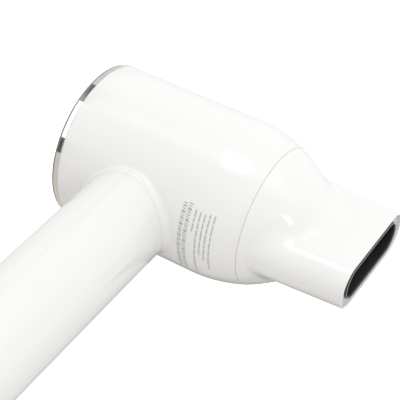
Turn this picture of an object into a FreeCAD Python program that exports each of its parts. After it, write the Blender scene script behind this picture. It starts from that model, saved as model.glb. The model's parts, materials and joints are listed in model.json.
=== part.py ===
import FreeCAD, Part
import math
import os
import Sketcher
from FreeCAD import Placement, Rotation, Vector

# A hair dryer with a straight round barrel, a straight round handle at right angles to it and a
# flat-mouthed air nozzle.  The parts are drawn with the barrel along +X, towards the nozzle, and the
# handle hanging along -Z.  One placement then lays the whole dryer on its side on a table: the barrel
# and the far end of the handle touch the plane z = 0, and the origin is under the middle of the dryer.
# Lengths are in millimetres.

DIMENSIONS = [
    # the barrel
    ("barrel_radius", 38.0, "outer radius of the barrel"),
    ("barrel_wall", 2.2, "wall of the barrel shell"),
    ("rear_end", -41.0, "rear face of the chrome ring"),
    ("trim_width", 2.85, "length of the chrome ring along the barrel"),
    ("trim_round", 0.6, "rounding of the chrome ring's rear edge"),
    ("part_gap", 0.3, "gap between pieces that come apart"),
    ("slip_fit", 0.1, "gap between pieces that are pushed together"),
    ("edge_break", 0.4, "chamfer of the barrel's rear edge"),
    ("shoulder_start", 30.0, "where the barrel starts to narrow"),
    ("shoulder_bend", 66.5, "radius of the shoulder's curve"),
    ("front_seam", 54.7, "seam between the barrel and the nozzle"),
    ("front_radius", 33.3, "outer radius at that seam"),
    ("neck_seam", 41.4, "distance of the handle's seam from the barrel's axis"),
    ("neck_fillet", 3.0, "fillet between the neck and the barrel"),
    ("neck_reach", 46.0, "length of the round bar that the neck is cut from"),
    ("seam_gap", 0.2, "gap at the handle's seam"),
    # the handle
    ("handle_radius", 22.05, "outer radius of the handle"),
    ("handle_wall", 2.0, "wall of the handle tube"),
    ("handle_end", -206.0, "far end of the handle"),
    ("end_cap_height", 4.8, "height of the visible end cap"),
    ("end_cap_round", 2.5, "rounding of the end cap's edge"),
    ("end_cap_skirt", 9.0, "depth of the end cap inside the tube"),
    ("liner_fit", 0.1, "fit of pieces inside the handle tube"),
    ("inlet_radius", 3.6, "bore for the lead in the gland"),
    ("gland_radius", 5.9, "outer radius of the gland"),
    ("gland_flange", 7.5, "radius of the gland's flange"),
    # the air path
    ("duct_radius", 30.0, "outer radius of the air duct"),
    ("duct_wall", 1.5, "wall of the air duct"),
    ("duct_start", -27.3, "rear end of the air duct"),
    ("duct_end", 49.8, "front end of the air duct"),
    ("intake_front", -25.0, "front face of the intake frame"),
    ("intake_rear", -29.5, "rear face of the intake frame"),
    ("cover_skirt_end", -31.0, "front edge of the rear cover's skirt"),
    ("cover_skirt_radius", 35.1, "outer radius of the rear cover's skirt"),
    ("cover_skirt_wall", 1.7, "wall of the rear cover's skirt"),
    ("cover_face", -40.3, "rear face of the rear cover"),
    ("cover_thickness", 1.7, "thickness of the rear cover's face"),
    ("slot_inner", 12.5, "where the cover's slots start"),
    ("slot_outer", 31.5, "where the cover's slots end"),
    ("slot_width", 1.5, "width of the cover's slots"),
    ("slot_count", 40, "number of slots in the rear cover"),
    ("cover_boss", 10.5, "radius of the shallow dish in the middle of the rear cover"),
    ("dish_depth", 0.8, "depth of that dish"),
    ("mesh_thickness", 0.4, "thickness of the filter's mesh"),
    ("filter_inner", 11.0, "radius of the hole in the middle of the filter"),
    ("filter_hub", 12.6, "outer radius of the filter frame's inner ring"),
    ("filter_rim", 2.2, "width of the filter frame's outer ring"),
    ("filter_depth", 2.0, "depth of the filter's frame"),
    ("steel_length", 1.2, "length of the rear cover's steel ring"),
    ("guard_inner", 26.5, "inner radius of the intake guard's rim"),
    ("guard_hub", 8.0, "outer radius of the intake guard's hub"),
    ("guard_bore", 5.5, "inner radius of the intake guard's hub"),
    ("guard_spokes", 9, "number of spokes in the intake guard"),
    ("spoke_width", 1.4, "width of those spokes"),
    ("screw_circle", 33.2, "distance of the intake's screws and magnets from the axis"),
    ("screw_depth", 10.0, "length of the intake's screws"),
    ("pillar_radius", 2.8, "radius of the pillars that the intake's screws go into"),
    ("head_height", 1.5, "height of the screws' heads"),
    ("magnet_depth", 2.0, "length of the intake and outlet magnets"),
    # the motor
    ("motor_radius", 14.4, "outer radius of the motor housing"),
    ("motor_wall", 0.9, "wall of the motor housing"),
    ("motor_rear", -18.0, "rear end of the motor housing"),
    ("motor_front", 4.0, "front end of the motor housing"),
    ("core_radius", 8.6, "outer radius of the motor's core cup"),
    ("shaft_radius", 1.0, "radius of the motor's shaft"),
    ("bearing_radius", 3.0, "outer radius of both bearings"),
    ("running_gap", 0.02, "radial clearance of the shaft in its bearings"),
    ("hub_radius", 5.5, "radius of the impeller's hub"),
    ("blade_tip", 13.0, "radius of the impeller's blade tips"),
    ("blade_count", 11, "number of impeller blades"),
    ("vane_count", 9, "number of guide vanes"),
    ("mount_rear", -24.0, "rear end of the motor's mount"),
    ("mount_front", 2.0, "front end of the motor's mount"),
    ("mount_wall", 1.6, "wall of the motor's mount"),
    ("mount_seat", 2.0, "room for the damper round the motor"),
    ("damper_rear", -14.0, "rear end of the rubber damper"),
    ("bearing_length", 2.0, "length of both bearings"),
    ("rear_bearing", -7.0, "rear end of the rear bearing"),
    ("cap_thickness", 3.0, "thickness of the motor's end cap"),
    ("shaft_start", -16.4, "rear end of the motor's shaft"),
    ("shaft_length", 24.0, "length of the motor's shaft"),
    ("rotor_radius", 3.6, "outer radius of the rotor's magnet"),
    ("tooth_start", -3.5, "rear end of the stator's teeth"),
    ("tooth_length", 6.0, "length of the stator's teeth"),
    ("tooth_width", 2.6, "width of the stator's teeth"),
    ("driver_gap", 1.6, "room between the motor's end cap and its driver board"),
    ("driver_radius", 12.5, "outer radius of the motor's driver board"),
    ("driver_bore", 3.5, "inner radius of the motor's driver board"),
    # the heater
    ("heater_start", 16.0, "rear end of the heater's frame"),
    ("heater_end", 46.0, "front end of the heater's frame"),
    ("mica_wall", 0.5, "thickness of the mica tube"),
    ("plate_thickness", 0.8, "thickness of the heater's frame plates"),
    ("coil_radius", 24.1, "radius of the heating coil's turns"),
    ("coil_wire", 0.6, "radius of the heating coil's strand"),
    ("coil_pitch", 3.0, "distance between the coil's turns"),
    ("coil_turns", 8, "number of turns"),
    ("coil_start", 4.5, "distance of the first turn from the frame's rear end"),
    ("ear_length", 2.5, "length of the frame's ears that rest on the mica tube"),
    ("fuse_radius", 1.3, "radius of the thermal fuse"),
    ("thermistor_radius", 1.0, "radius of the thermistor"),
    # the outlet
    ("grille_front", 53.4, "front face of the outlet grille"),
    ("grille_radius", 30.8, "outer radius of the outlet grille"),
    ("fin_count", 18, "number of radial fins in the outlet grille"),
    ("fin_width", 0.8, "thickness of those fins"),
    ("grille_rim", 2.3, "width of the grille's rim"),
    ("grille_hub", 7.4, "outer radius of the grille's hub"),
    ("grille_ring", 18.0, "outer radius of the ring that joins the fins"),
    ("emitter_radius", 6.2, "radius of the ion emitter"),
    ("outlet_magnets", 6, "number of magnets that hold the nozzle"),
    ("outlet_magnet", 0.9, "radius of the magnets in the grille"),
    ("nozzle_magnet", 1.2, "radius of the magnets in the nozzle's carrier"),
    ("nozzle_magnet_depth", 1.6, "length of the magnets in the nozzle's carrier"),
    # the nozzle
    ("nozzle_tip", 104.0, "front edge of the nozzle"),
    ("nozzle_wall", 1.1, "wall of the nozzle shell"),
    ("dome_bend", 80.0, "radius of the curve along the nozzle's dome"),
    ("dome_middle", 21.04, "place of that curve's centre along the barrel's axis"),
    ("dome_drop", 39.3, "distance of that curve's centre below the axis"),
    ("dome_end", 84.5, "where the dome ends inside the flat mouth"),
    ("mouth_start", 56.0, "rear end of the flat mouth, inside the dome"),
    ("rear_height", 31.3, "half of the flat mouth's height at its rear end"),
    ("rear_width", 11.8, "half of its width there"),
    ("rear_corner", 10.6, "rounding of its corners there"),
    ("mouth_height", 28.9, "half of the mouth's height at its tip"),
    ("mouth_width", 11.2, "half of the mouth's width at its tip"),
    ("mouth_corner", 10.6, "rounding of the mouth's ends"),
    ("nozzle_blend", 7.0, "fillet between the dome and the flat mouth"),
    ("lining_wall", 1.0, "wall of the dark inner nozzle"),
    ("lining_start", 58.0, "rear end of the inner nozzle"),
    ("lining_tip", 103.5, "front edge of the inner nozzle"),
    ("lining_height", 23.8, "half of the height of the inner nozzle's mouth"),
    ("lining_width", 8.1, "half of its width"),
    ("lining_corner", 7.8, "rounding of its ends"),
    ("carrier_radius", 29.9, "outer radius of the nozzle's carrier ring"),
    ("carrier_inner", 26.8, "inner radius of the nozzle's carrier ring"),
    ("carrier_length", 3.4, "length of the nozzle's carrier ring"),
    # the controls, on the rear side of the handle
    ("panel_middle", -96.0, "middle of the control panel along the handle"),
    ("panel_half", 30.0, "half of the panel's height"),
    ("panel_side", 7.4, "half of the panel's width"),
    ("panel_depth", 2.45, "thickness of the panel"),
    ("slider_rest", -83.0, "middle of the slider when it is off"),
    ("slider_travel", 8.0, "travel of the slider"),
    ("slider_side", 3.2, "half of the slider's width"),
    ("slider_half", 4.6, "half of the slider's height"),
    ("heat_button", -107.0, "middle of the heat button"),
    ("cool_button", -119.0, "middle of the cool shot button"),
    ("button_radius", 4.0, "radius of both buttons"),
    ("button_rise", 0.75, "how far the buttons stand out of the panel"),
    ("slider_rise", 1.7, "how far the slider stands out of the panel"),
    ("light_radius", 0.7, "radius of the light guides"),
    ("light_flange", 1.2, "radius of the light guides' flanges"),
    ("upper_light", -93.5, "middle of the uppermost light along the handle"),
    ("light_pitch", 3.0, "distance between the lights"),
    ("board_face", -14.0, "face of the control board that carries the switches"),
    ("board_thickness", 1.6, "thickness of circuit boards"),
    ("board_side", 11.0, "half of the control board's width"),
    ("board_top", -64.0, "upper edge of the control board"),
    ("board_bottom", -146.0, "lower edge of the control board"),
    ("upper_screw", -67.5, "upper screw of the control board"),
    ("lower_screw", -141.0, "lower screw of the control board"),
    ("switch_rise", 2.8, "height of the switches on the board"),
    ("carrier_plate", 1.6, "thickness of the board's carrier"),
    ("terminal_base", 14.0, "height of the terminal block above the handle's far end"),
    ("terminal_height", 8.0, "height of the terminal block"),
    ("terminal_screw", 10.4, "distance of its screws from the handle's axis"),
    ("cap_floor", 2.5, "thickness of the end cap's floor"),
    ("lead_radius", 0.8, "radius of the thin leads"),
    ("mains_radius", 1.1, "radius of the mains leads"),
    ("screw_radius", 1.2, "radius of the screws' shanks"),
    ("head_radius", 2.2, "radius of the screws' heads"),
    ("magnet_radius", 1.9, "radius of the intake magnets"),
]

doc = FreeCAD.newDocument("hair_dryer")
sheet = doc.addObject("Spreadsheet::Sheet", "Dims")


class Size:
    """A length together with the sheet expression that gives it."""

    def __init__(self, value, text):
        self.value = float(value)
        self.text = text

    def joined(self, other, sign, value):
        return Size(value, f"({self.text} {sign} {text_of(other)})")

    def __float__(self):
        return self.value

    def __add__(self, other):
        return self.joined(other, "+", self.value + float(other))

    def __sub__(self, other):
        return self.joined(other, "-", self.value - float(other))

    def __mul__(self, other):
        return self.joined(other, "*", self.value * float(other))

    def __truediv__(self, other):
        return self.joined(other, "/", self.value / float(other))

    def __neg__(self):
        return self * -1


def text_of(size):
    return size.text if isinstance(size, Size) else repr(float(size))


class Dims:
    """The driving dimensions by name."""


for row, (alias, value, note) in enumerate(DIMENSIONS, start=1):
    sheet.set(f"A{row}", note)
    sheet.set(f"B{row}", str(value))
    sheet.setAlias(f"B{row}", alias)
    setattr(Dims, alias, Size(value, f"Dims.{alias}"))
doc.recompute()

ALONG = {
    "x": Rotation(Vector(0, 1, 0), 90),
    "y": Rotation(Vector(1, 0, 0), -90),
    "z": Rotation(),
}
SUBPARTS = []


def new_body(label):
    body = doc.addObject("PartDesign::Body", label)
    body.Label = label
    SUBPARTS.append(body)
    return body


def bind(thing, prop, size):
    thing.setExpression(prop, text_of(size))


def origin_item(body, role):
    return next(item for item in body.Origin.OriginFeatures if item.Role == role)


def new_sketch(body, role, offset=0.0):
    """A sketch on one of the body's own planes, moved along that plane's normal."""
    sketch = body.newObject("Sketcher::SketchObject", body.Name + "_sketch")
    sketch.AttachmentSupport = [(origin_item(body, role), "")]
    sketch.MapMode = "FlatFace"
    bind(sketch, "AttachmentOffset.Base.z", offset)
    return sketch


def pin_point(sketch, item, end, u, v):
    """Holds one end (or the centre) of a sketch item at (u, v)."""
    for kind, axis, size in (("DistanceX", -2, u), ("DistanceY", -1, v)):
        if not isinstance(size, Size) and size == 0:
            sketch.addConstraint(Sketcher.Constraint("PointOnObject", item, end, axis))
            continue
        number = sketch.addConstraint(Sketcher.Constraint(kind, -1, 1, item, end, float(size)))
        bind(sketch, f"Constraints[{number}]", size)


def curved_edge(start, end, radius):
    """An arc between two points; a negative radius puts its centre on the right of the way there."""
    chord = end - start
    middle = (start + end) * 0.5
    side = Vector(-chord.y, chord.x, 0).normalize()
    rise = math.sqrt(radius * radius - chord.Length ** 2 / 4)
    centre = middle + side * math.copysign(rise, radius)
    ends = (start, end) if radius > 0 else (end, start)
    angles = [math.atan2(p.y - centre.y, p.x - centre.x) for p in ends]
    return Part.ArcOfCircle(Part.Circle(centre, Vector(0, 0, 1), abs(radius)), *angles)


def outline(sketch, corners):
    """A closed outline.  A corner is (u, v), or (u, v, radius) if the edge that leaves it is an arc."""
    points = [Vector(float(corner[0]), float(corner[1]), 0) for corner in corners]
    ends = []
    for index, corner in enumerate(corners):
        start = points[index]
        end = points[(index + 1) % len(points)]
        curved = len(corner) == 3
        edge = curved_edge(start, end, float(corner[2])) if curved else Part.LineSegment(start, end)
        sketch.addGeometry(edge, False)
        ends.append((2, 1) if curved and float(corner[2]) < 0 else (1, 2))
    for index, corner in enumerate(corners):
        after = (index + 1) % len(corners)
        join = Sketcher.Constraint("Coincident", index, ends[index][1], after, ends[after][0])
        sketch.addConstraint(join)
        pin_point(sketch, index, ends[index][0], corner[0], corner[1])
        if len(corner) == 3:
            number = sketch.addConstraint(Sketcher.Constraint("Radius", index, abs(float(corner[2]))))
            radius = corner[2] if float(corner[2]) > 0 else -corner[2]
            bind(sketch, f"Constraints[{number}]", radius)


def turned(body, corners, axis="x", remove=False):
    """A turned piece or groove; corners are (along, radius) about X, or (radius, along) about Z."""
    sketch = new_sketch(body, "XZ_Plane")
    outline(sketch, corners)
    kind = "PartDesign::Groove" if remove else "PartDesign::Revolution"
    feature = body.newObject(kind, body.Name + "_turn")
    feature.Profile = sketch
    feature.ReferenceAxis = (sketch, ["H_Axis" if axis == "x" else "V_Axis"])
    feature.Angle = 360
    body.Tip = feature
    return feature


def ring(body, outer, inner, start, end, axis="x", remove=False):
    """A plain ring or tube between two places on its axis."""
    corners = [(start, inner), (start, outer), (end, outer), (end, inner)]
    if axis == "z":
        corners = [(radius, along) for along, radius in corners]
    return turned(body, corners, axis, remove)


def set_place(feature, base, along="z"):
    feature.Placement = Placement(Vector(), ALONG[along])
    for letter, size in zip("xyz", base):
        bind(feature, f"Placement.Base.{letter}", size)


def rod(body, radius, length, base, along="z", remove=False):
    """A round bar, or a round hole, from its base along one axis."""
    kind = "Subtractive" if remove else "Additive"
    feature = body.newObject(f"PartDesign::{kind}Cylinder", body.Name + "_rod")
    bind(feature, "Radius", radius)
    bind(feature, "Height", length)
    set_place(feature, base, along)
    body.Tip = feature
    return feature


def bar(body, sizes, corner, remove=False):
    """A square bar, or a square hole, from its lowest corner."""
    kind = "Subtractive" if remove else "Additive"
    feature = body.newObject(f"PartDesign::{kind}Box", body.Name + "_bar")
    for prop, size in zip(("Length", "Width", "Height"), sizes):
        bind(feature, prop, size)
    set_place(feature, corner)
    body.Tip = feature
    return feature


def around(body, features, count, role="X_Axis"):
    """Repeats features evenly round an axis."""
    doc.recompute()
    pattern = body.newObject("PartDesign::PolarPattern", body.Name + "_around")
    pattern.Originals = features
    pattern.Axis = (origin_item(body, role), [""])
    pattern.Angle = 360
    bind(pattern, "Occurrences", count)
    body.Tip = pattern
    return pattern


def along_line(body, features, count, pitch, role="X_Axis"):
    """Repeats features in a line."""
    doc.recompute()
    pattern = body.newObject("PartDesign::LinearPattern", body.Name + "_line")
    pattern.Originals = features
    pattern.Direction = (origin_item(body, role), [""])
    bind(pattern, "Length", pitch * (count - 1))
    bind(pattern, "Occurrences", count)
    body.Tip = pattern
    return pattern


def padded(body, sketch, length):
    feature = body.newObject("PartDesign::Pad", body.Name + "_pad")
    feature.Profile = sketch
    bind(feature, "Length", length)
    body.Tip = feature
    return feature


def rounded(body, pick_edges, radius):
    """Rounds the edges that pick_edges names on the body as it is so far."""
    doc.recompute()
    base = body.Tip
    fillet = body.newObject("PartDesign::Fillet", body.Name + "_fillet")
    fillet.Base = (base, pick_edges(base.Shape))
    bind(fillet, "Radius", radius)
    body.Tip = fillet


def upright_slot(body, half, side, middle, start, depth, remove=False):
    """A long rounded block or hole along X: 2 * half high and 2 * side wide."""
    straight = half - side
    bar(body, (depth, side * 2, straight * 2), (start, -side, middle - straight), remove)
    for end in (middle - straight, middle + straight):
        rod(body, side, depth, (start, 0, end), "x", remove)


def screws(body, places, along, head_first, shank):
    """Round-headed screws; places are the middles of the heads' faces that bear on the work."""
    index = "xyz".index(along)
    for place in places:
        head = list(place)
        tail = list(place)
        if head_first:
            head[index] = place[index] - Dims.head_height
        else:
            tail[index] = place[index] - shank
        rod(body, Dims.head_radius, Dims.head_height, head, along)
        rod(body, Dims.screw_radius, shank, tail, along)


# ---------------------------------------------------------------- the barrel

SCREW_ANGLES = (90, 210, 330)
MAGNET_ANGLES = (30, 150, 270)


def on_circle(radius, degrees):
    """The across and up places at one angle on a circle round the barrel's axis."""
    turn = math.radians(degrees)
    return radius * math.cos(turn), radius * math.sin(turn)


def barrel_shell():
    body = new_body("barrel_shell")
    rear = Dims.rear_end + Dims.trim_width + Dims.part_gap
    front = Dims.front_seam - Dims.part_gap / 2
    edge = Dims.edge_break
    reach = Dims.neck_reach
    turned(body, [
        (rear, 0), (rear, Dims.barrel_radius - edge), (rear + edge, Dims.barrel_radius),
        (Dims.shoulder_start, Dims.barrel_radius, -Dims.shoulder_bend), (front, Dims.front_radius),
        (front, 0)])
    rod(body, Dims.handle_radius, reach, (0, 0, -reach))
    ring(body, reach * 2, Dims.neck_seam - Dims.seam_gap / 2, -reach, reach, remove=True)
    rounded(body, neck_edges, Dims.neck_fillet)
    inner_bend = Dims.shoulder_bend - Dims.barrel_wall
    inner_radius = Dims.barrel_radius - Dims.barrel_wall
    front_inner = Dims.front_radius - Dims.barrel_wall - 0.15
    turned(body, [
        (rear - 1, 0), (rear - 1, inner_radius), (Dims.shoulder_start, inner_radius, -inner_bend),
        (front, front_inner), (front + 1, front_inner - 0.45), (front + 1, 0)], remove=True)
    neck_bore = Dims.handle_radius - Dims.handle_wall - Dims.liner_fit / 2
    rod(body, neck_bore, reach, (0, 0, -reach), remove=True)
    for angle in SCREW_ANGLES:
        y, z = on_circle(Dims.screw_circle, angle)
        rod(body, Dims.pillar_radius, Dims.screw_depth + 2, (Dims.intake_front, y, z), "x")
        rod(body, Dims.screw_radius, Dims.screw_depth, (Dims.intake_front, y, z), "x", remove=True)


def neck_edges(shape):
    """The names of the edges where the neck meets the barrel."""
    names = []
    for number, edge in enumerate(shape.Edges, start=1):
        points = edge.discretize(9)
        on_neck = all(abs(math.hypot(p.x, p.y) - float(Dims.handle_radius)) < 0.01 for p in points)
        on_barrel = all(abs(math.hypot(p.y, p.z) - float(Dims.barrel_radius)) < 0.01 for p in points)
        if on_neck and on_barrel:
            names.append(f"Edge{number}")
    return names


def rear_trim_ring():
    body = new_body("rear_trim_ring")
    rear = Dims.rear_end
    front = rear + Dims.trim_width
    inner = Dims.cover_skirt_radius
    edge = Dims.trim_round
    turned(body, [
        (rear, inner), (rear, Dims.barrel_radius - edge, -edge), (rear + edge, Dims.barrel_radius),
        (front, Dims.barrel_radius), (front, inner)])


def rear_cover():
    body = new_body("rear_cover")
    back = Dims.cover_face
    inside = back + Dims.cover_thickness
    skirt = Dims.cover_skirt_radius
    skirt_inner = skirt - Dims.cover_skirt_wall
    dish = back + Dims.dish_depth
    turned(body, [
        (dish, 0), (dish, Dims.cover_boss - 1), (back, Dims.cover_boss), (back, skirt),
        (Dims.cover_skirt_end, skirt), (Dims.cover_skirt_end, skirt_inner), (inside, skirt_inner),
        (inside, 0)])
    cut = (Dims.cover_thickness * 3, Dims.slot_width, Dims.slot_outer - Dims.slot_inner)
    corner = (back - Dims.cover_thickness, -(Dims.slot_width / 2), Dims.slot_inner)
    slot = bar(body, cut, corner, remove=True)
    around(body, [slot], Dims.slot_count)


def filter_mesh():
    body = new_body("filter_mesh")
    back = Dims.cover_face + Dims.cover_thickness
    outer = Dims.cover_skirt_radius - Dims.cover_skirt_wall
    ring(body, outer, Dims.filter_inner, back, back + Dims.mesh_thickness)


def filter_frame():
    body = new_body("filter_frame")
    back = Dims.cover_face + Dims.cover_thickness + Dims.mesh_thickness
    front = back + Dims.filter_depth
    outer = Dims.cover_skirt_radius - Dims.cover_skirt_wall
    rim_inner = outer - Dims.filter_rim
    overlap = 0.3
    width = 1.6
    ring(body, outer, rim_inner, back, front)
    ring(body, Dims.filter_hub, Dims.filter_inner, back, front)
    length = rim_inner - Dims.filter_hub + overlap * 2
    spoke = bar(body, (Dims.filter_depth, width, length), (back, -width / 2, Dims.filter_hub - overlap))
    around(body, [spoke], 6)


def cover_steel_ring():
    body = new_body("cover_steel_ring")
    start = Dims.cover_skirt_end
    outer = Dims.cover_skirt_radius - Dims.slip_fit
    ring(body, outer, outer - Dims.cover_skirt_wall + Dims.slip_fit, start, start + Dims.steel_length)


def intake_frame():
    body = new_body("intake_frame")
    rear = Dims.intake_rear
    outer = Dims.barrel_radius - Dims.barrel_wall - Dims.liner_fit
    guard_front = Dims.duct_start - Dims.slip_fit
    overlap = 0.8
    ring(body, outer, Dims.duct_radius, rear, Dims.intake_front)
    ring(body, Dims.duct_radius + 0.5, Dims.guard_inner, rear, guard_front)
    ring(body, Dims.guard_hub, Dims.guard_bore, rear, guard_front)
    length = Dims.guard_inner - Dims.guard_hub + overlap * 2
    corner = (rear, -(Dims.spoke_width / 2), Dims.guard_hub - overlap)
    spoke = bar(body, (guard_front - rear, Dims.spoke_width, length), corner)
    around(body, [spoke], Dims.guard_spokes)
    for angle in MAGNET_ANGLES:
        y, z = on_circle(Dims.screw_circle, angle)
        rod(body, Dims.magnet_radius, Dims.magnet_depth, (rear, y, z), "x", remove=True)
    for angle in SCREW_ANGLES:
        y, z = on_circle(Dims.screw_circle, angle)
        rod(body, Dims.head_radius, Dims.head_height, (rear, y, z), "x", remove=True)
        rod(body, Dims.screw_radius, Dims.screw_depth, (rear, y, z), "x", remove=True)


def intake_magnets():
    body = new_body("intake_magnets")
    for angle in MAGNET_ANGLES:
        y, z = on_circle(Dims.screw_circle, angle)
        rod(body, Dims.magnet_radius, Dims.magnet_depth, (Dims.intake_rear, y, z), "x")


def intake_screws():
    body = new_body("intake_screws")
    face = Dims.intake_rear + Dims.head_height
    places = [(face, *on_circle(Dims.screw_circle, angle)) for angle in SCREW_ANGLES]
    screws(body, places, "x", True, Dims.screw_depth)


def air_duct():
    body = new_body("air_duct")
    ring(body, Dims.duct_radius, Dims.duct_radius - Dims.duct_wall, Dims.duct_start, Dims.duct_end)
    lead_opening = (13.0, 10.0, 8.0)
    bar(body, lead_opening, (1.5, -5.0, -(Dims.duct_radius + 3)), remove=True)


# ---------------------------------------------------------------- the motor

def motor_mount():
    body = new_body("motor_mount")
    outer = Dims.duct_radius - Dims.duct_wall - Dims.slip_fit
    rim = 1.8
    slant = 0.6
    seat = Dims.motor_radius + Dims.mount_seat
    rear = Dims.mount_rear
    front = Dims.mount_front
    turned(body, [
        (rear, outer - rim), (rear, outer), (rear + 4, outer), (front - 10, seat + Dims.mount_wall),
        (front, seat + Dims.mount_wall), (front, seat), (front - 10 - slant, seat),
        (rear + 4 - slant, outer - rim)])


def rubber_damper():
    body = new_body("rubber_damper")
    fit = 0.05
    outer = Dims.motor_radius + Dims.mount_seat - fit
    inner = Dims.motor_radius + fit
    waist = outer - 0.9
    rear = Dims.damper_rear
    front = Dims.mount_front
    turned(body, [
        (rear, inner), (rear, outer), (rear + 5, outer), (rear + 5, waist), (front - 6, waist),
        (front - 6, outer), (front, outer), (front, inner)])


def motor_housing():
    body = new_body("motor_housing")
    inner = Dims.motor_radius - Dims.motor_wall
    front = Dims.motor_front
    ring(body, Dims.motor_radius, inner, Dims.motor_rear, front)
    cup_inner = Dims.core_radius - 0.75
    cup_rear = Dims.rear_bearing
    cup_floor = cup_rear + Dims.bearing_length
    seat = Dims.bearing_radius + Dims.running_gap
    turned(body, [
        (cup_rear, seat), (cup_rear, Dims.core_radius), (front, Dims.core_radius), (front, cup_inner),
        (cup_floor, cup_inner), (cup_floor, seat)])
    overlap = 0.3
    vane_sketch = new_sketch(body, "XY_Plane", Dims.core_radius - overlap)
    outline(vane_sketch, [(-6.5, -1.6), (-5.9, -1.9), (3.6, 0.2), (3.6, 0.8), (-0.5, 0.7)])
    vane = padded(body, vane_sketch, inner - Dims.core_radius + overlap * 2)
    around(body, [vane], Dims.vane_count)


def motor_end_cap():
    body = new_body("motor_end_cap")
    start = Dims.motor_front
    end = start + Dims.cap_thickness
    ring(body, Dims.core_radius, Dims.bearing_radius + Dims.running_gap, start, end)
    post = rod(body, 1.1, Dims.driver_gap, (end, 0, 6.2), "x")
    around(body, [post], 3)


def bearing(label, start):
    body = new_body(label)
    bore = Dims.shaft_radius + Dims.running_gap
    ring(body, Dims.bearing_radius, bore, start, start + Dims.bearing_length)


def motor_shaft():
    body = new_body("motor_shaft")
    rod(body, Dims.shaft_radius, Dims.shaft_length, (Dims.shaft_start, 0, 0), "x")


def rotor_magnet():
    body = new_body("rotor_magnet")
    ring(body, Dims.rotor_radius, Dims.shaft_radius, -4.4, 3.4)


def impeller():
    body = new_body("impeller")
    hub = Dims.hub_radius
    front = -8.6
    turned(body, [
        (-15.6, Dims.shaft_radius), (-16.6, 2.6), (-15.2, hub - 0.9), (-13.4, hub), (front, hub),
        (front, Dims.shaft_radius)])
    overlap = 0.4
    blade_sketch = new_sketch(body, "XY_Plane", hub - overlap)
    outline(blade_sketch, [
        (-14.6, -2.4), (-14.0, -2.7), (-11.2, 0.6), (-9.0, 2.2), (-9.4, 2.6), (-11.8, 1.0)])
    blade = padded(body, blade_sketch, Dims.blade_tip - hub - 0.1)
    around(body, [blade], Dims.blade_count)


def stator_core():
    body = new_body("stator_core")
    outer = Dims.core_radius - 0.8
    start = Dims.tooth_start
    ring(body, outer, outer - 1.6, start, start + Dims.tooth_length)
    tooth = bar(body, (Dims.tooth_length, Dims.tooth_width, 2.2), (start, -(Dims.tooth_width / 2), 4.2))
    around(body, [tooth], 3)


def stator_coils():
    body = new_body("stator_coils")
    start = Dims.tooth_start
    half = Dims.tooth_width / 2
    overhang = 1.2
    side = Dims.tooth_width
    winding = bar(body, (Dims.tooth_length + overhang * 2, side * 2, 1.0), (start - overhang, -side, 4.5))
    hole = bar(body, (Dims.tooth_length, Dims.tooth_width, 3.0), (start, -half, 4.0), remove=True)
    around(body, [winding, hole], 3)


def driver_board():
    body = new_body("driver_board")
    start = Dims.motor_front + Dims.cap_thickness + Dims.driver_gap
    face = start + Dims.board_thickness
    ring(body, Dims.driver_radius, Dims.driver_bore, start, face)
    large_chip = (1.8, 4.0, 4.0)
    small_chip = (1.2, 3.0, 5.0)
    bar(body, large_chip, (face, -2.0, 5.5))
    bar(body, small_chip, (face, -8.5, -2.5))


# ---------------------------------------------------------------- the heater

def mica_tube():
    body = new_body("mica_tube")
    outer = Dims.duct_radius - Dims.duct_wall - Dims.slip_fit
    ring(body, outer, outer - Dims.mica_wall, Dims.heater_start - 1, Dims.heater_end + 2)


def heater_frame():
    body = new_body("heater_frame")
    length = Dims.heater_end - Dims.heater_start
    reach = Dims.coil_radius - Dims.coil_wire - Dims.slip_fit
    ear = Dims.duct_radius - Dims.duct_wall - Dims.mica_wall - Dims.part_gap
    thick = Dims.plate_thickness
    half = thick / 2
    bar(body, (length, thick, reach * 2), (Dims.heater_start, -half, -reach))
    bar(body, (length, reach * 2, thick), (Dims.heater_start, -reach, -half))
    for start in (Dims.heater_start, Dims.heater_end - Dims.ear_length):
        bar(body, (Dims.ear_length, thick, ear * 2), (start, -half, -ear))
        bar(body, (Dims.ear_length, ear * 2, thick), (start, -ear, -half))


def heating_coil():
    body = new_body("heating_coil")
    turn = body.newObject("PartDesign::AdditiveTorus", "coil_turn")
    bind(turn, "Radius1", Dims.coil_radius)
    bind(turn, "Radius2", Dims.coil_wire)
    set_place(turn, (Dims.heater_start + Dims.coil_start, 0, 0), "x")
    body.Tip = turn
    along_line(body, [turn], Dims.coil_turns, Dims.coil_pitch)


def thermostat():
    body = new_body("thermostat")
    top = Dims.plate_thickness / 2
    block = (9.0, 5.0, 3.0)
    tongue = (3.0, 1.0, 0.5)
    bar(body, block, (22.0, -14.0, top))
    bar(body, tongue, (19.0, -12.0, top))


def thermal_fuse():
    body = new_body("thermal_fuse")
    up = Dims.plate_thickness / 2 + Dims.fuse_radius
    end_radius = 0.4
    rod(body, Dims.fuse_radius, 9.0, (26.0, 8.0, up), "x")
    rod(body, end_radius, 17.0, (22.0, 8.0, up), "x")


def thermistor():
    body = new_body("thermistor")
    up = Dims.plate_thickness / 2 + Dims.thermistor_radius
    rod(body, Dims.thermistor_radius, 3.0, (44.5, 16.0, up), "x")


# ---------------------------------------------------------------- the outlet

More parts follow.
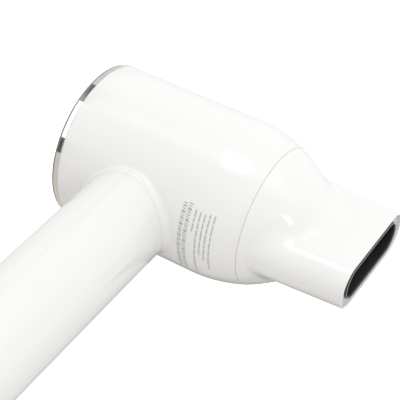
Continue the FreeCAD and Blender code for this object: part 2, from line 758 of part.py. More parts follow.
def outlet_grille():
    body = new_body("outlet_grille")
    back = Dims.duct_end + Dims.slip_fit
    face = Dims.grille_front
    rim = Dims.grille_radius - Dims.grille_rim
    set_back = 0.5
    overlap = 0.6
    ring(body, Dims.grille_radius, rim, back, face)
    ring(body, Dims.grille_hub, Dims.emitter_radius, back, face)
    ring(body, Dims.grille_ring, Dims.grille_ring - Dims.fin_width, back + set_back, face - set_back)
    fin_start = Dims.grille_hub - overlap
    fin_size = (face - back - set_back * 2, Dims.fin_width, rim - fin_start + 0.4)
    fin = bar(body, fin_size, (back + set_back, -(Dims.fin_width / 2), fin_start))
    around(body, [fin], Dims.fin_count)
    hole = outlet_magnet(body, remove=True)
    around(body, [hole], Dims.outlet_magnets)


def outlet_magnet(body, remove=False):
    """One magnet of the grille, or its hole."""
    up = Dims.grille_radius - Dims.grille_rim / 2
    start = Dims.grille_front - Dims.magnet_depth
    return rod(body, Dims.outlet_magnet, Dims.magnet_depth, (start, 0, up), "x", remove)


def outlet_magnets():
    body = new_body("outlet_magnets")
    around(body, [outlet_magnet(body)], Dims.outlet_magnets)


def ion_emitter():
    body = new_body("ion_emitter")
    tip = Dims.grille_front - 0.4
    front = tip - 1
    wide = Dims.emitter_radius
    turned(body, [(47.0, 0), (47.0, 3.0), (50.5, wide), (front, wide), (front, 0.45), (tip, 0)])


# ---------------------------------------------------------------- the nozzle

def oblong(body, x, height, width, corner):
    """An upright rectangle with rounded corners across the nozzle at one place."""
    sketch = new_sketch(body, "YZ_Plane", x)
    corners = []
    quarter = math.pi / 2
    for number, (across, up) in enumerate(((1, 1), (-1, 1), (-1, -1), (1, -1))):
        centre = ((width - corner) * across, (height - corner) * up)
        circle = Part.Circle(Vector(float(centre[0]), float(centre[1]), 0), Vector(0, 0, 1), float(corner))
        sketch.addGeometry(Part.ArcOfCircle(circle, quarter * number, quarter * (number + 1)), False)
        corners.append(centre)
    for number in range(4):
        ends = [sketch.getPoint(number, 2), sketch.getPoint((number + 1) % 4, 1)]
        sketch.addGeometry(Part.LineSegment(*ends), False)
        sketch.addConstraint(Sketcher.Constraint("Tangent", number, 2, number + 4, 1))
        sketch.addConstraint(Sketcher.Constraint("Tangent", number + 4, 2, (number + 1) % 4, 1))
    for number, (u, v) in enumerate(corners):
        pin_point(sketch, number, 3, u, v)
    radius = sketch.addConstraint(Sketcher.Constraint("Radius", 0, float(corner)))
    bind(sketch, f"Constraints[{radius}]", corner)
    return sketch


def flat_mouth(body, rear, front, inset, remove=False):
    """The flat part of a nozzle between two oblongs (place, height, width, corner), drawn inset."""
    kind = "PartDesign::SubtractiveLoft" if remove else "PartDesign::AdditiveLoft"
    sections = [oblong(body, x, high - inset, wide - inset, corner - inset)
                for x, high, wide, corner in (rear, front)]
    loft = body.newObject(kind, body.Name + "_mouth")
    loft.Profile = sections[0]
    loft.Sections = [sections[1]]
    body.Tip = loft


def dome_radius_at(x, inset):
    """Radius of the nozzle's dome at x, inset square to its side."""
    bend = Dims.dome_bend - inset
    run = Dims.dome_middle - x
    square = bend * bend - run * run
    root = Size(math.sqrt(float(square)), f"sqrt({square.text})")
    return root - Dims.dome_drop


def dome(body, start, inset, remove=False):
    """The round part of the nozzle from start on, drawn inset."""
    turned(body, [
        (start, 0), (start, dome_radius_at(start, inset), -(Dims.dome_bend - inset)),
        (Dims.dome_end, dome_radius_at(Dims.dome_end, inset)), (Dims.dome_end, 0)], remove=remove)


def crease_edges(shape):
    """The names of the edges where the flat mouth leaves the dome."""
    names = []
    for number, edge in enumerate(shape.Edges, start=1):
        points = edge.discretize(7)[1:-1]
        if not all(float(Dims.mouth_start) < p.x < float(Dims.dome_end) for p in points):
            continue
        if all(abs(math.hypot(p.y, p.z) - float(dome_radius_at(p.x, 0))) < 0.02 for p in points):
            names.append(f"Edge{number}")
    return names


def nozzle_shell():
    body = new_body("nozzle_shell")
    start = Dims.front_seam + Dims.part_gap / 2
    rear = (Dims.mouth_start, Dims.rear_height, Dims.rear_width, Dims.rear_corner)
    front = (Dims.nozzle_tip, Dims.mouth_height, Dims.mouth_width, Dims.mouth_corner)
    dome(body, start, 0.0)
    flat_mouth(body, rear, front, 0.0)
    rounded(body, crease_edges, Dims.nozzle_blend)
    dome(body, start, Dims.nozzle_wall, remove=True)
    flat_mouth(body, rear, front, Dims.nozzle_wall, remove=True)


def nozzle_lining():
    body = new_body("nozzle_lining")
    outside = Dims.nozzle_wall + 0.1
    inside = outside + Dims.lining_wall
    rear = (Dims.lining_start, Dims.lining_height, Dims.lining_width, Dims.lining_corner)
    front = (Dims.lining_tip, Dims.lining_height, Dims.lining_width, Dims.lining_corner)
    dome(body, Dims.lining_start, outside)
    flat_mouth(body, rear, front, 0.0)
    dome(body, Dims.mouth_start, inside, remove=True)
    flat_mouth(body, rear, front, Dims.lining_wall, remove=True)


def nozzle_carrier():
    body = new_body("nozzle_carrier")
    start = Dims.grille_front + Dims.part_gap
    ring(body, Dims.carrier_radius, Dims.carrier_inner, start, start + Dims.carrier_length)
    pocket = nozzle_magnet(body, remove=True)
    around(body, [pocket], Dims.outlet_magnets)


def nozzle_magnet(body, remove=False):
    """One magnet of the carrier, or its pocket."""
    start = Dims.grille_front + Dims.part_gap
    up = (Dims.carrier_radius + Dims.carrier_inner) / 2
    return rod(body, Dims.nozzle_magnet, Dims.nozzle_magnet_depth, (start, 0, up), "x", remove)


def nozzle_magnets():
    body = new_body("nozzle_magnets")
    around(body, [nozzle_magnet(body)], Dims.outlet_magnets)


# ---------------------------------------------------------------- the handle

UPPER_END = -20.0
THROUGH_START = -50.0
THROUGH_LENGTH = 100.0


def handle_tube():
    body = new_body("handle_tube")
    inner = Dims.handle_radius - Dims.handle_wall
    low = Dims.handle_end + Dims.end_cap_height
    half = Dims.panel_half + Dims.slip_fit
    side = Dims.panel_side + Dims.slip_fit
    ring(body, Dims.handle_radius, inner, low, UPPER_END, "z")
    rod(body, Dims.neck_seam + Dims.seam_gap / 2, THROUGH_LENGTH, (THROUGH_START, 0, 0), "x", remove=True)
    upright_slot(body, half, side, Dims.panel_middle, -30.0, 20.0, remove=True)


def neck_sleeve():
    body = new_body("neck_sleeve")
    outer = Dims.handle_radius - Dims.handle_wall - Dims.liner_fit
    ring(body, outer, outer - 1.5, -60.0, UPPER_END, "z")
    rod(body, Dims.duct_radius + 1, THROUGH_LENGTH, (THROUGH_START, 0, 0), "x", remove=True)


def handle_end_cap():
    body = new_body("handle_end_cap")
    end = Dims.handle_end
    edge = Dims.end_cap_round
    step = end + Dims.end_cap_height - Dims.slip_fit
    skirt = Dims.handle_radius - Dims.handle_wall - Dims.liner_fit
    skirt_inner = skirt - 1.5
    top = step + Dims.end_cap_skirt
    floor = end + Dims.cap_floor
    hole = Dims.gland_radius + 0.05
    turned(body, [
        (hole, end), (Dims.handle_radius - edge, end, edge), (Dims.handle_radius, end + edge),
        (Dims.handle_radius, step), (skirt, step), (skirt, top), (skirt_inner, top), (skirt_inner, floor),
        (hole, floor)], "z")
    pillar_height = 12.0
    for side in (-1, 1):
        across = Dims.terminal_screw * side
        rod(body, 2.3, pillar_height, (0, across, floor - 0.5))
        rod(body, Dims.screw_radius, pillar_height - 1, (0, across, floor + 0.5), remove=True)


def cord_gland():
    body = new_body("cord_gland")
    end = Dims.handle_end
    floor = end + Dims.cap_floor
    top = floor + 5
    turned(body, [
        (Dims.inlet_radius, end + 0.5), (Dims.inlet_radius + 0.5, end), (Dims.gland_radius, end),
        (Dims.gland_radius, floor), (Dims.gland_flange, floor), (Dims.gland_flange, floor + 2),
        (Dims.gland_radius - 0.6, top), (Dims.inlet_radius, top)], "z")


def terminal_block():
    body = new_body("terminal_block")
    base = Dims.handle_end + Dims.terminal_base
    height = Dims.terminal_height
    depth = 11.0
    width = 25.4
    bar(body, (depth, width, height), (-depth / 2, -width / 2, base))
    for side in (-1, 1):
        rod(body, Dims.screw_radius, height, (0, Dims.terminal_screw * side, base), remove=True)
        rod(body, Dims.lead_radius * 2, 5.0, (0, side * 3.0, base), remove=True)


def terminal_screws():
    body = new_body("terminal_screws")
    top = Dims.handle_end + Dims.terminal_base + Dims.terminal_height
    places = [(0, Dims.terminal_screw * side, top) for side in (-1, 1)]
    screws(body, places, "z", False, Dims.terminal_height + 8)


BUTTONS = (Dims.heat_button, Dims.cool_button)
LIGHTS = [Dims.upper_light - Dims.light_pitch * number for number in range(3)]


def control_panel():
    body = new_body("control_panel")
    outer = Dims.handle_radius
    cut_depth = 10.0
    cut_start = -25.0
    upright_slot(body, Dims.panel_half, Dims.panel_side, Dims.panel_middle, -24.0, 7.0)
    ring(body, outer + 6, outer, -150.0, -50.0, "z", remove=True)
    rod(body, outer - Dims.panel_depth, THROUGH_LENGTH, (0, 0, -150.0), remove=True)
    slot_half = Dims.slider_travel / 2 + 3.6
    slot_middle = Dims.slider_rest + Dims.slider_travel / 2
    upright_slot(body, slot_half, 2.1, slot_middle, cut_start, cut_depth, remove=True)
    for middle in BUTTONS:
        hole = Dims.button_radius + Dims.part_gap
        rod(body, hole, cut_depth, (cut_start, 0, middle), "x", remove=True)
    for middle in LIGHTS:
        rod(body, Dims.light_radius, cut_depth, (cut_start, 0, middle), "x", remove=True)


def light_guides():
    body = new_body("light_guides")
    back = Dims.panel_depth + Dims.slip_fit - Dims.handle_radius
    for middle in LIGHTS:
        rod(body, Dims.light_radius, 4.0, (-Dims.handle_radius, 0, middle), "x")
        rod(body, Dims.light_flange, 1.4, (back, 0, middle), "x")


def speed_slider():
    body = new_body("speed_slider")
    back = -(Dims.handle_radius + Dims.part_gap)
    rise = Dims.slider_rise
    side = Dims.slider_side
    middle = Dims.slider_rest
    rib_pitch = 1.2
    rib_width = 0.5
    stem = (5.9, 3.4, 4.6)
    upright_slot(body, Dims.slider_half, side, middle, back - rise, rise)
    for number in range(-2, 3):
        low = middle + number * rib_pitch - rib_width / 2
        bar(body, (0.4, side * 2, rib_width), (back - rise, -side, low), remove=True)
    bar(body, stem, (back, -stem[1] / 2, middle - stem[2] / 2))


def push_button(label, middle):
    """A round button whose stem reaches into its switch."""
    body = new_body(label)
    top = -(Dims.handle_radius + Dims.button_rise)
    rod(body, Dims.button_radius, 4.3, (top, 0, middle), "x")
    rod(body, Dims.button_radius + 0.9, 0.7, (-18.8, 0, middle), "x")
    rod(body, 1.5, 2.4, (-18.3, 0, middle), "x")


BOARD_SCREWS = (Dims.upper_screw, Dims.lower_screw)


def control_board():
    body = new_body("control_board")
    face = Dims.board_face
    side = Dims.board_side
    low = Dims.board_bottom
    bar(body, (Dims.board_thickness, side * 2, Dims.board_top - low), (face, -side, low))
    for middle in BOARD_SCREWS:
        rod(body, Dims.screw_radius, 5.0, (face - 1, 0, middle), "x", remove=True)
    large_chip = (2.0, 6.0, 4.0)
    small_chip = (1.2, 3.0, 5.0)
    bar(body, large_chip, (face - large_chip[0], 3.0, low + 10))
    bar(body, small_chip, (face - small_chip[0], -8.5, low + 14))


def board_switches():
    body = new_body("board_switches")
    rise = Dims.switch_rise
    face = Dims.board_face - rise
    half = Dims.slider_travel / 2 + 3.4
    middle = Dims.slider_rest + Dims.slider_travel / 2
    slot_half = half - 0.8
    bar(body, (rise, 8.0, half * 2), (face, -4.0, middle - half))
    bar(body, (rise - 0.6, 3.8, slot_half * 2), (face, -1.9, middle - slot_half), remove=True)
    for button in BUTTONS:
        bar(body, (rise, 6.0, 6.0), (face, -3.0, button - 3))
        rod(body, 1.8, rise - 0.5, (face, 0, button), "x", remove=True)


def board_carrier():
    body = new_body("board_carrier")
    plate = Dims.carrier_plate
    back = Dims.board_face + Dims.board_thickness
    side = Dims.board_side + 2
    rail = 1.8
    top = Dims.board_top + 4
    low = Dims.board_bottom + 1.5
    bar(body, (plate, side * 2, top - low), (back, -side, low))
    for edge in (-side, side - rail):
        bar(body, (2.0, rail, top - low), (back - 2, edge, low))
    rod(body, Dims.handle_radius - Dims.handle_wall - Dims.liner_fit, 2.0, (0, 0, top - 2))
    lead_opening = (18.0, 12.0, 6.0)
    bar(body, lead_opening, (-15.0, -6.0, top - 4), remove=True)
    for middle in BOARD_SCREWS:
        rod(body, 2.0, 4.0, (back + plate, 0, middle), "x")
        rod(body, Dims.screw_radius, 5.5, (back, 0, middle), "x", remove=True)


def board_screws():
    body = new_body("board_screws")
    screws(body, [(Dims.board_face, 0, middle) for middle in BOARD_SCREWS], "x", True, 6.5)


def ion_module():
    body = new_body("ion_module")
    back = Dims.board_face + Dims.board_thickness + Dims.carrier_plate
    block = (13.0, 16.0, 32.0)
    socket = (4.0, 6.0, 3.0)
    low = -132.0
    bar(body, block, (back, -8.0, low))
    bar(body, socket, (back + 2, -3.0, low + block[2]))


def leads(label, points, radius, sides):
    """Round leads side by side: straight runs in the XZ plane joined by arcs, at several y."""
    piece = doc.addObject("Part::Feature", label)
    piece.Label = label
    shapes = []
    for y in sides:
        places = [Vector(x, y, z) for x, z in points]
        edges = []
        start = places[0]
        for index in range(1, len(places) - 1):
            before, here, after = places[index - 1:index + 2]
            into = (here - before).normalize()
            out = (after - here).normalize()
            turn = into.getAngle(out)
            cut = 0.45 * min((here - before).Length, (after - here).Length)
            bend_start = here - into * cut
            bend_end = here + out * cut
            bulge = cut * math.tan(turn / 4)
            middle = (bend_start + bend_end) * 0.5 + (into - out).normalize() * bulge
            edges.append(Part.LineSegment(start, bend_start).toShape())
            edges.append(Part.Arc(bend_start, middle, bend_end).toShape())
            start = bend_end
        edges.append(Part.LineSegment(start, places[-1]).toShape())
        spine = Part.Wire(edges)
        section = Part.Wire(Part.makeCircle(float(radius), places[0], places[1] - places[0]))
        shapes.append(spine.makePipeShell([section], True, False))
    piece.Shape = Part.makeCompound(shapes) if len(shapes) > 1 else shapes[0]
    SUBPARTS.append(piece)


# ---------------------------------------------------------------- the whole dryer

def lay_down():
    """The placement that lays the dryer on its side with its origin under the middle of it."""
    lie = float(Dims.barrel_radius)
    arm = -float(Dims.handle_end) - float(Dims.end_cap_round)
    edge = float(Dims.handle_radius) - float(Dims.end_cap_round)
    reach = math.hypot(arm, edge)
    tilt = math.asin((lie - float(Dims.end_cap_round)) / reach) - math.atan2(edge, arm)
    turn = Placement(Vector(), Rotation(Vector(1, 0, 0), -90 + math.degrees(tilt)))
    middle_x = (float(Dims.rear_end) + float(Dims.nozzle_tip)) / 2
    far = -math.cos(tilt) * arm + math.sin(tilt) * -edge - float(Dims.end_cap_round)
    return Placement(Vector(-middle_x, -(far + lie) / 2, lie), turn.Rotation)


def build():
    barrel_shell()
    rear_trim_ring()
    rear_cover()
    filter_mesh()
    filter_frame()
    cover_steel_ring()
    intake_frame()
    intake_magnets()
    intake_screws()
    air_duct()
    motor_mount()
    rubber_damper()
    motor_housing()
    motor_end_cap()
    bearing("rear_bearing", Dims.rear_bearing)
    bearing("front_bearing", Dims.motor_front + 1)
    motor_shaft()
    rotor_magnet()
    impeller()
    stator_core()
    stator_coils()
    driver_board()
    mica_tube()
    heater_frame()
    heating_coil()
    thermostat()
    thermal_fuse()
    thermistor()
    outlet_grille()
    outlet_magnets()
    ion_emitter()
    nozzle_shell()
    nozzle_lining()
    nozzle_carrier()
    nozzle_magnets()
    handle_tube()
    neck_sleeve()
    handle_end_cap()
    cord_gland()
    terminal_block()
    terminal_screws()
    control_panel()
    light_guides()
    speed_slider()
    push_button("heat_button", Dims.heat_button)
    push_button("cool_shot_button", Dims.cool_button)
    control_board()
    board_switches()
    board_carrier()
    board_screws()
    ion_module()
    motor_route = [(-13.2, -63.9), (-13.2, -44.0), (6.0, -33.0), (6.0, -13.0)]
    heater_route = [(-13.2, -63.9), (-13.2, -48.0), (11.5, -34.0), (11.5, -26.0), (19.8, -26.0)]
    mains_route = [(0.0, -184.0), (0.0, -170.0), (-13.2, -160.0), (-13.2, -146.1)]
    leads("motor_leads", motor_route, Dims.lead_radius, (-1.8, 0, 1.8))
    leads("heater_leads", heater_route, Dims.lead_radius, (-3.8, 3.8))
    leads("mains_leads", mains_route, Dims.mains_radius, (-3, 3))


def check_and_write():
    doc.recompute()
    placement = lay_down()
    for piece in SUBPARTS:
        piece.Placement = placement
    doc.recompute()
    failed = [item.Name for item in doc.Objects if "Invalid" in item.State or "Error" in item.State]
    if failed:
        raise SystemExit(f"failed features: {failed}")
    for piece in SUBPARTS:
        if piece.Shape.isNull() or not piece.Shape.isValid() or piece.Shape.Volume <= 0:
            raise SystemExit(f"bad shape: {piece.Label}")
    os.makedirs("parts", exist_ok=True)
    for piece in SUBPARTS:
        piece.Shape.exportStep(f"parts/{piece.Label}.step")


build()
check_and_write()
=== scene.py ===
import json
import math

import bmesh
import bpy
from mathutils import Matrix, Vector


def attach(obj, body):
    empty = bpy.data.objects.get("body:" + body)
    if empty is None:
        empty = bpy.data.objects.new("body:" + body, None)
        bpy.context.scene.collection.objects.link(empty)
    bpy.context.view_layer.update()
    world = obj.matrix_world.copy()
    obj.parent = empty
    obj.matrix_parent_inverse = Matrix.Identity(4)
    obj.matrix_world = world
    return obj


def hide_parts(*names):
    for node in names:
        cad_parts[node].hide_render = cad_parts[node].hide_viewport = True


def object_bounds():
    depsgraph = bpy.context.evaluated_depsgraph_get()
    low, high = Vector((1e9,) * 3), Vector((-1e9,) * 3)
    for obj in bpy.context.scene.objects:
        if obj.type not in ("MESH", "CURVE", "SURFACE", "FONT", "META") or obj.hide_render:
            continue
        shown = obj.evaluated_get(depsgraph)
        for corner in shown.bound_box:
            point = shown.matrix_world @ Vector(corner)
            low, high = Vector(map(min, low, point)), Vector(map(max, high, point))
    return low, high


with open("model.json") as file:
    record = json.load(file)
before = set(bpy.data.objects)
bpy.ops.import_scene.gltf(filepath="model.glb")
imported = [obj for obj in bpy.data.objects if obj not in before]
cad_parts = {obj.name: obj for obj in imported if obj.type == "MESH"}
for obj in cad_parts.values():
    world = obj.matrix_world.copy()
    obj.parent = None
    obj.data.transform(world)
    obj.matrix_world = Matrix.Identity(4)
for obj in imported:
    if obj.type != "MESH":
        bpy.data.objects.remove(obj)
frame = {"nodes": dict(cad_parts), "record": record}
cad_box = [list(corner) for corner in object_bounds()]
record = frame["record"]
joints = {joint["name"]: joint for joint in record["behaviour"]["joints"]}

# The pieces below are drawn upright, like the CAD: +X along the barrel towards the nozzle, -Z down
# the handle, in millimetres from the middle of the barrel.  LAID turns that into the shared frame.
MM = 0.001
TURN_PLACE = 57.0   # where the joint nozzle_turn lies along the barrel
UP = Vector(joints["speed_slide"]["axis"]).normalized()
ALONG = Vector(joints["nozzle_turn"]["axis"]).normalized()
ACROSS = UP.cross(ALONG)
AXIS_POINT = Vector(joints["nozzle_turn"]["pos_m"]) - ALONG * TURN_PLACE * MM
LAID = Matrix((
    (ALONG.x, ACROSS.x, UP.x, AXIS_POINT.x / MM),
    (ALONG.y, ACROSS.y, UP.y, AXIS_POINT.y / MM),
    (ALONG.z, ACROSS.z, UP.z, AXIS_POINT.z / MM),
    (0, 0, 0, 1)))


def laid(point):
    """A point drawn upright, in millimetres, as a point of the shared frame, in metres."""
    return (LAID @ Vector(point)) * MM


# ---------------------------------------------------------------- materials

def new_material(name):
    material = bpy.data.materials.new(name)
    material.use_nodes = True
    nodes = material.node_tree.nodes
    nodes.clear()
    shader = nodes.new("ShaderNodeBsdfPrincipled")
    output = nodes.new("ShaderNodeOutputMaterial")
    material.node_tree.links.new(shader.outputs["BSDF"], output.inputs["Surface"])
    return material, shader


MIX_FIRST, MIX_RESULT = 6, 2   # the colour sockets of a Mix node; its second input is the next one


class Maker:
    """Short ways to add nodes to one material."""

    def __init__(self, material):
        self.tree = material.node_tree
        self.place = self.node("TexCoord").outputs["Object"]

    def node(self, kind, **values):
        node = self.tree.nodes.new("ShaderNode" + kind)
        for key, value in values.items():
            setattr(node, key, value)
        return node

    def link(self, source, target):
        self.tree.links.new(source, target)

    def stretched(self, scale):
        mapping = self.node("Mapping")
        mapping.inputs["Scale"].default_value = scale
        self.link(self.place, mapping.inputs["Vector"])
        return mapping.outputs["Vector"]

    def noise(self, size_mm, detail=2.0, roughness=0.5, stretch=None):
        """Clouds of about one size; stretch draws them out along the axes with small factors."""
        noise = self.node("TexNoise")
        noise.inputs["Scale"].default_value = 1000.0 / size_mm
        noise.inputs["Detail"].default_value = detail
        noise.inputs["Roughness"].default_value = roughness
        self.link(self.stretched(stretch) if stretch else self.place, noise.inputs["Vector"])
        return noise.outputs["Fac"]

    def ranged(self, value, low, high, to_low, to_high):
        """Turns values from low to high into values from to_low to to_high."""
        node = self.node("MapRange", clamp=True)
        ends = {"From Min": low, "From Max": high, "To Min": to_low, "To Max": to_high}
        for key, number in ends.items():
            node.inputs[key].default_value = number
        self.link(value, node.inputs["Value"])
        return node.outputs["Result"]

    def math(self, operation, first, second):
        node = self.node("Math", operation=operation)
        self.link(first, node.inputs[0])
        self.link(second, node.inputs[1])
        return node.outputs["Value"]

    def mixed(self, factor, first, second):
        """A colour between two, each a plain colour or another node's result."""
        node = self.node("Mix", data_type="RGBA")
        self.link(factor, node.inputs["Factor"])
        for socket, value in zip(node.inputs[MIX_FIRST:], (first, second)):
            if isinstance(value, tuple):
                socket.default_value = (*value, 1.0)
            else:
                self.link(value, socket)
        return node.outputs[MIX_RESULT]

    def bump(self, height, depth_mm, before=None):
        node = self.node("Bump")
        node.inputs["Distance"].default_value = depth_mm * MM
        node.inputs["Strength"].default_value = 1.0
        self.link(height, node.inputs["Height"])
        if before is not None:
            self.link(before, node.inputs["Normal"])
        return node.outputs["Normal"]


def shade(colour, factor):
    """A lighter or darker colour."""
    return tuple(min(1.0, channel * factor) for channel in colour)


DUST_TONE = 0.72
WORN_DARK, WORN_LIGHT = 1.25, 0.9   # dark plastic wears paler at its edges, light plastic darker
DARK_LIMIT = 0.5
SCRATCH_RUN = (1.0, 0.06, 0.5)
COAT_ROUGHNESS, PLASTIC_IOR = 0.04, 1.5
WAVE_SCALE = 314.0                  # gives a wave texture bands one millimetre apart


def moulded(name, colour, gloss, grain_mm, grain_depth,
            coat=0.0, patch=0.04, scratch=0.0, edge=0.0):
    """Moulded plastic or rubber: cloudy tone, uneven gloss, fine grain, scratches, worn edges."""
    material, shader = new_material(name)
    make = Maker(material)
    clouds = make.noise(size_mm=45.0, detail=3.0, roughness=0.6)
    cloud = make.ranged(clouds, 0.3, 0.7, 0.0, 1.0)
    tone = make.mixed(cloud, shade(colour, 1.0 - patch), shade(colour, 1.0 + patch * 0.4))
    specks = make.noise(size_mm=6.0, detail=6.0, roughness=0.75)
    dust = make.ranged(specks, 0.56, 0.8, 0.0, patch * 2.5)
    tone = make.mixed(dust, tone, shade(colour, DUST_TONE))
    if edge:
        sharp = make.node("NewGeometry").outputs["Pointiness"]
        worn = make.ranged(sharp, 0.52, 0.6, 0.0, edge)
        worn_tone = WORN_DARK if max(colour) < DARK_LIMIT else WORN_LIGHT
        tone = make.mixed(worn, tone, shade(colour, worn_tone))
    make.link(tone, shader.inputs["Base Color"])
    wiped = make.noise(size_mm=22.0, detail=5.0, roughness=0.65)
    smear = make.ranged(wiped, 0.3, 0.75, gloss * 0.75, gloss * 1.45)
    hair = make.ranged(make.noise(size_mm=1.2, stretch=SCRATCH_RUN), 0.66, 0.74, 0.0, scratch)
    make.link(make.math("ADD", smear, hair), shader.inputs["Roughness"])
    grain = make.bump(make.noise(size_mm=grain_mm), grain_depth)
    wave = make.bump(make.noise(size_mm=14.0, detail=1.0), grain_depth * 2.2, before=grain)
    make.link(wave, shader.inputs["Normal"])
    shader.inputs["Coat Weight"].default_value = coat
    shader.inputs["Coat Roughness"].default_value = COAT_ROUGHNESS
    shader.inputs["IOR"].default_value = PLASTIC_IOR
    return material


def metal(name, colour, gloss, stretch, line_mm, line_depth, stain=0.1):
    """Bare or plated metal with fine tool lines, faint stains and uneven gloss."""
    material, shader = new_material(name)
    make = Maker(material)
    stains = make.noise(size_mm=9.0, detail=4.0, roughness=0.6)
    cloud = make.ranged(stains, 0.35, 0.7, 0.0, 1.0)
    tone = make.mixed(cloud, colour, shade(colour, 1.0 - stain))
    make.link(tone, shader.inputs["Base Color"])
    lines = make.noise(size_mm=line_mm, detail=3.0, roughness=0.6, stretch=stretch)
    make.link(make.ranged(lines, 0.3, 0.7, gloss * 0.7, gloss * 1.5), shader.inputs["Roughness"])
    make.link(make.bump(lines, line_depth), shader.inputs["Normal"])
    shader.inputs["Metallic"].default_value = 1.0
    return material


def banded(name, light, dark, pitch_mm, gloss, direction, depth=0.02, metallic=0.0):
    """Fine parallel bands: wound strands, braid or layered sheet."""
    material, shader = new_material(name)
    make = Maker(material)
    wave = make.node("TexWave", wave_type="BANDS", bands_direction=direction)
    wave.inputs["Scale"].default_value = WAVE_SCALE / pitch_mm
    wave.inputs["Distortion"].default_value = 0.6
    wave.inputs["Detail"].default_value = 1.0
    make.link(make.place, wave.inputs["Vector"])
    bands = wave.outputs["Fac"]
    cloud = make.mixed(make.noise(size_mm=3.0, detail=3.0), shade(light, 0.85), light)
    make.link(make.mixed(bands, dark, cloud), shader.inputs["Base Color"])
    rough = make.ranged(make.noise(size_mm=1.5, detail=4.0), 0.3, 0.7, gloss * 0.8, gloss * 1.3)
    make.link(rough, shader.inputs["Roughness"])
    make.link(make.bump(bands, depth), shader.inputs["Normal"])
    shader.inputs["Metallic"].default_value = metallic
    return material


def woven(name, light, dark, pitch_mm):
    """Fine crossed strands of the filter's mesh, with dark gaps between them."""
    material, shader = new_material(name)
    make = Maker(material)
    heights = []
    for direction in "YZ":
        wave = make.node("TexWave", wave_type="BANDS", bands_direction=direction)
        wave.inputs["Scale"].default_value = WAVE_SCALE / pitch_mm
        make.link(make.place, wave.inputs["Vector"])
        heights.append(wave.outputs["Fac"])
    weave = make.math("MAXIMUM", *heights)
    gaps = make.ranged(weave, 0.45, 0.75, 0.0, 1.0)
    cloud = make.mixed(make.noise(size_mm=4.0, detail=3.0), shade(light, 0.8), light)
    make.link(make.mixed(gaps, dark, cloud), shader.inputs["Base Color"])
    rough = make.ranged(make.noise(size_mm=2.0, detail=3.0), 0.3, 0.7, 0.3, 0.5)
    make.link(rough, shader.inputs["Roughness"])
    make.link(gaps, shader.inputs["Metallic"])
    make.link(make.bump(weave, 0.15), shader.inputs["Normal"])
    return material


TRACK_SCALE, TRACK_WIDTH, TRACK_HEIGHT = 160.0, 0.03, 0.03
TRACK_STRETCH = (0.4, 1.0, 1.3)
PAD_SCALE = 330.0
SOLDER = (0.62, 0.60, 0.55)


def circuit(name, colour, track):
    """A circuit board: solder mask over a maze of tracks, with pale dots where it is soldered."""
    material, shader = new_material(name)
    make = Maker(material)
    bricks = make.node("TexBrick")
    bricks.inputs["Scale"].default_value = TRACK_SCALE
    bricks.inputs["Mortar Size"].default_value = TRACK_WIDTH
    make.link(make.stretched(TRACK_STRETCH), bricks.inputs["Vector"])
    cells = make.node("TexVoronoi")
    cells.inputs["Scale"].default_value = PAD_SCALE
    make.link(make.place, cells.inputs["Vector"])
    tracks = make.mixed(bricks.outputs["Fac"], colour, track)
    pads = make.ranged(cells.outputs["Distance"], 0.1, 0.14, 1.0, 0.0)
    cloud = make.mixed(make.noise(size_mm=7.0, detail=3.0), tracks, colour)
    make.link(make.mixed(pads, cloud, SOLDER), shader.inputs["Base Color"])
    rough = make.ranged(make.noise(size_mm=3.0, detail=3.0), 0.3, 0.7, 0.25, 0.45)
    make.link(rough, shader.inputs["Roughness"])
    make.link(make.bump(bricks.outputs["Fac"], TRACK_HEIGHT), shader.inputs["Normal"])
    return material


GLOSS_WHITE = (0.83, 0.828, 0.815)
WARM_WHITE = (0.80, 0.80, 0.785)
SMOOTH = dict(gloss=0.11, grain_mm=1.6, grain_depth=0.0022, coat=0.6, patch=0.012, scratch=0.10)
LENGTHWISE = (0.05, 1.0, 1.0)
CROSSWISE = (1.0, 0.08, 0.08)

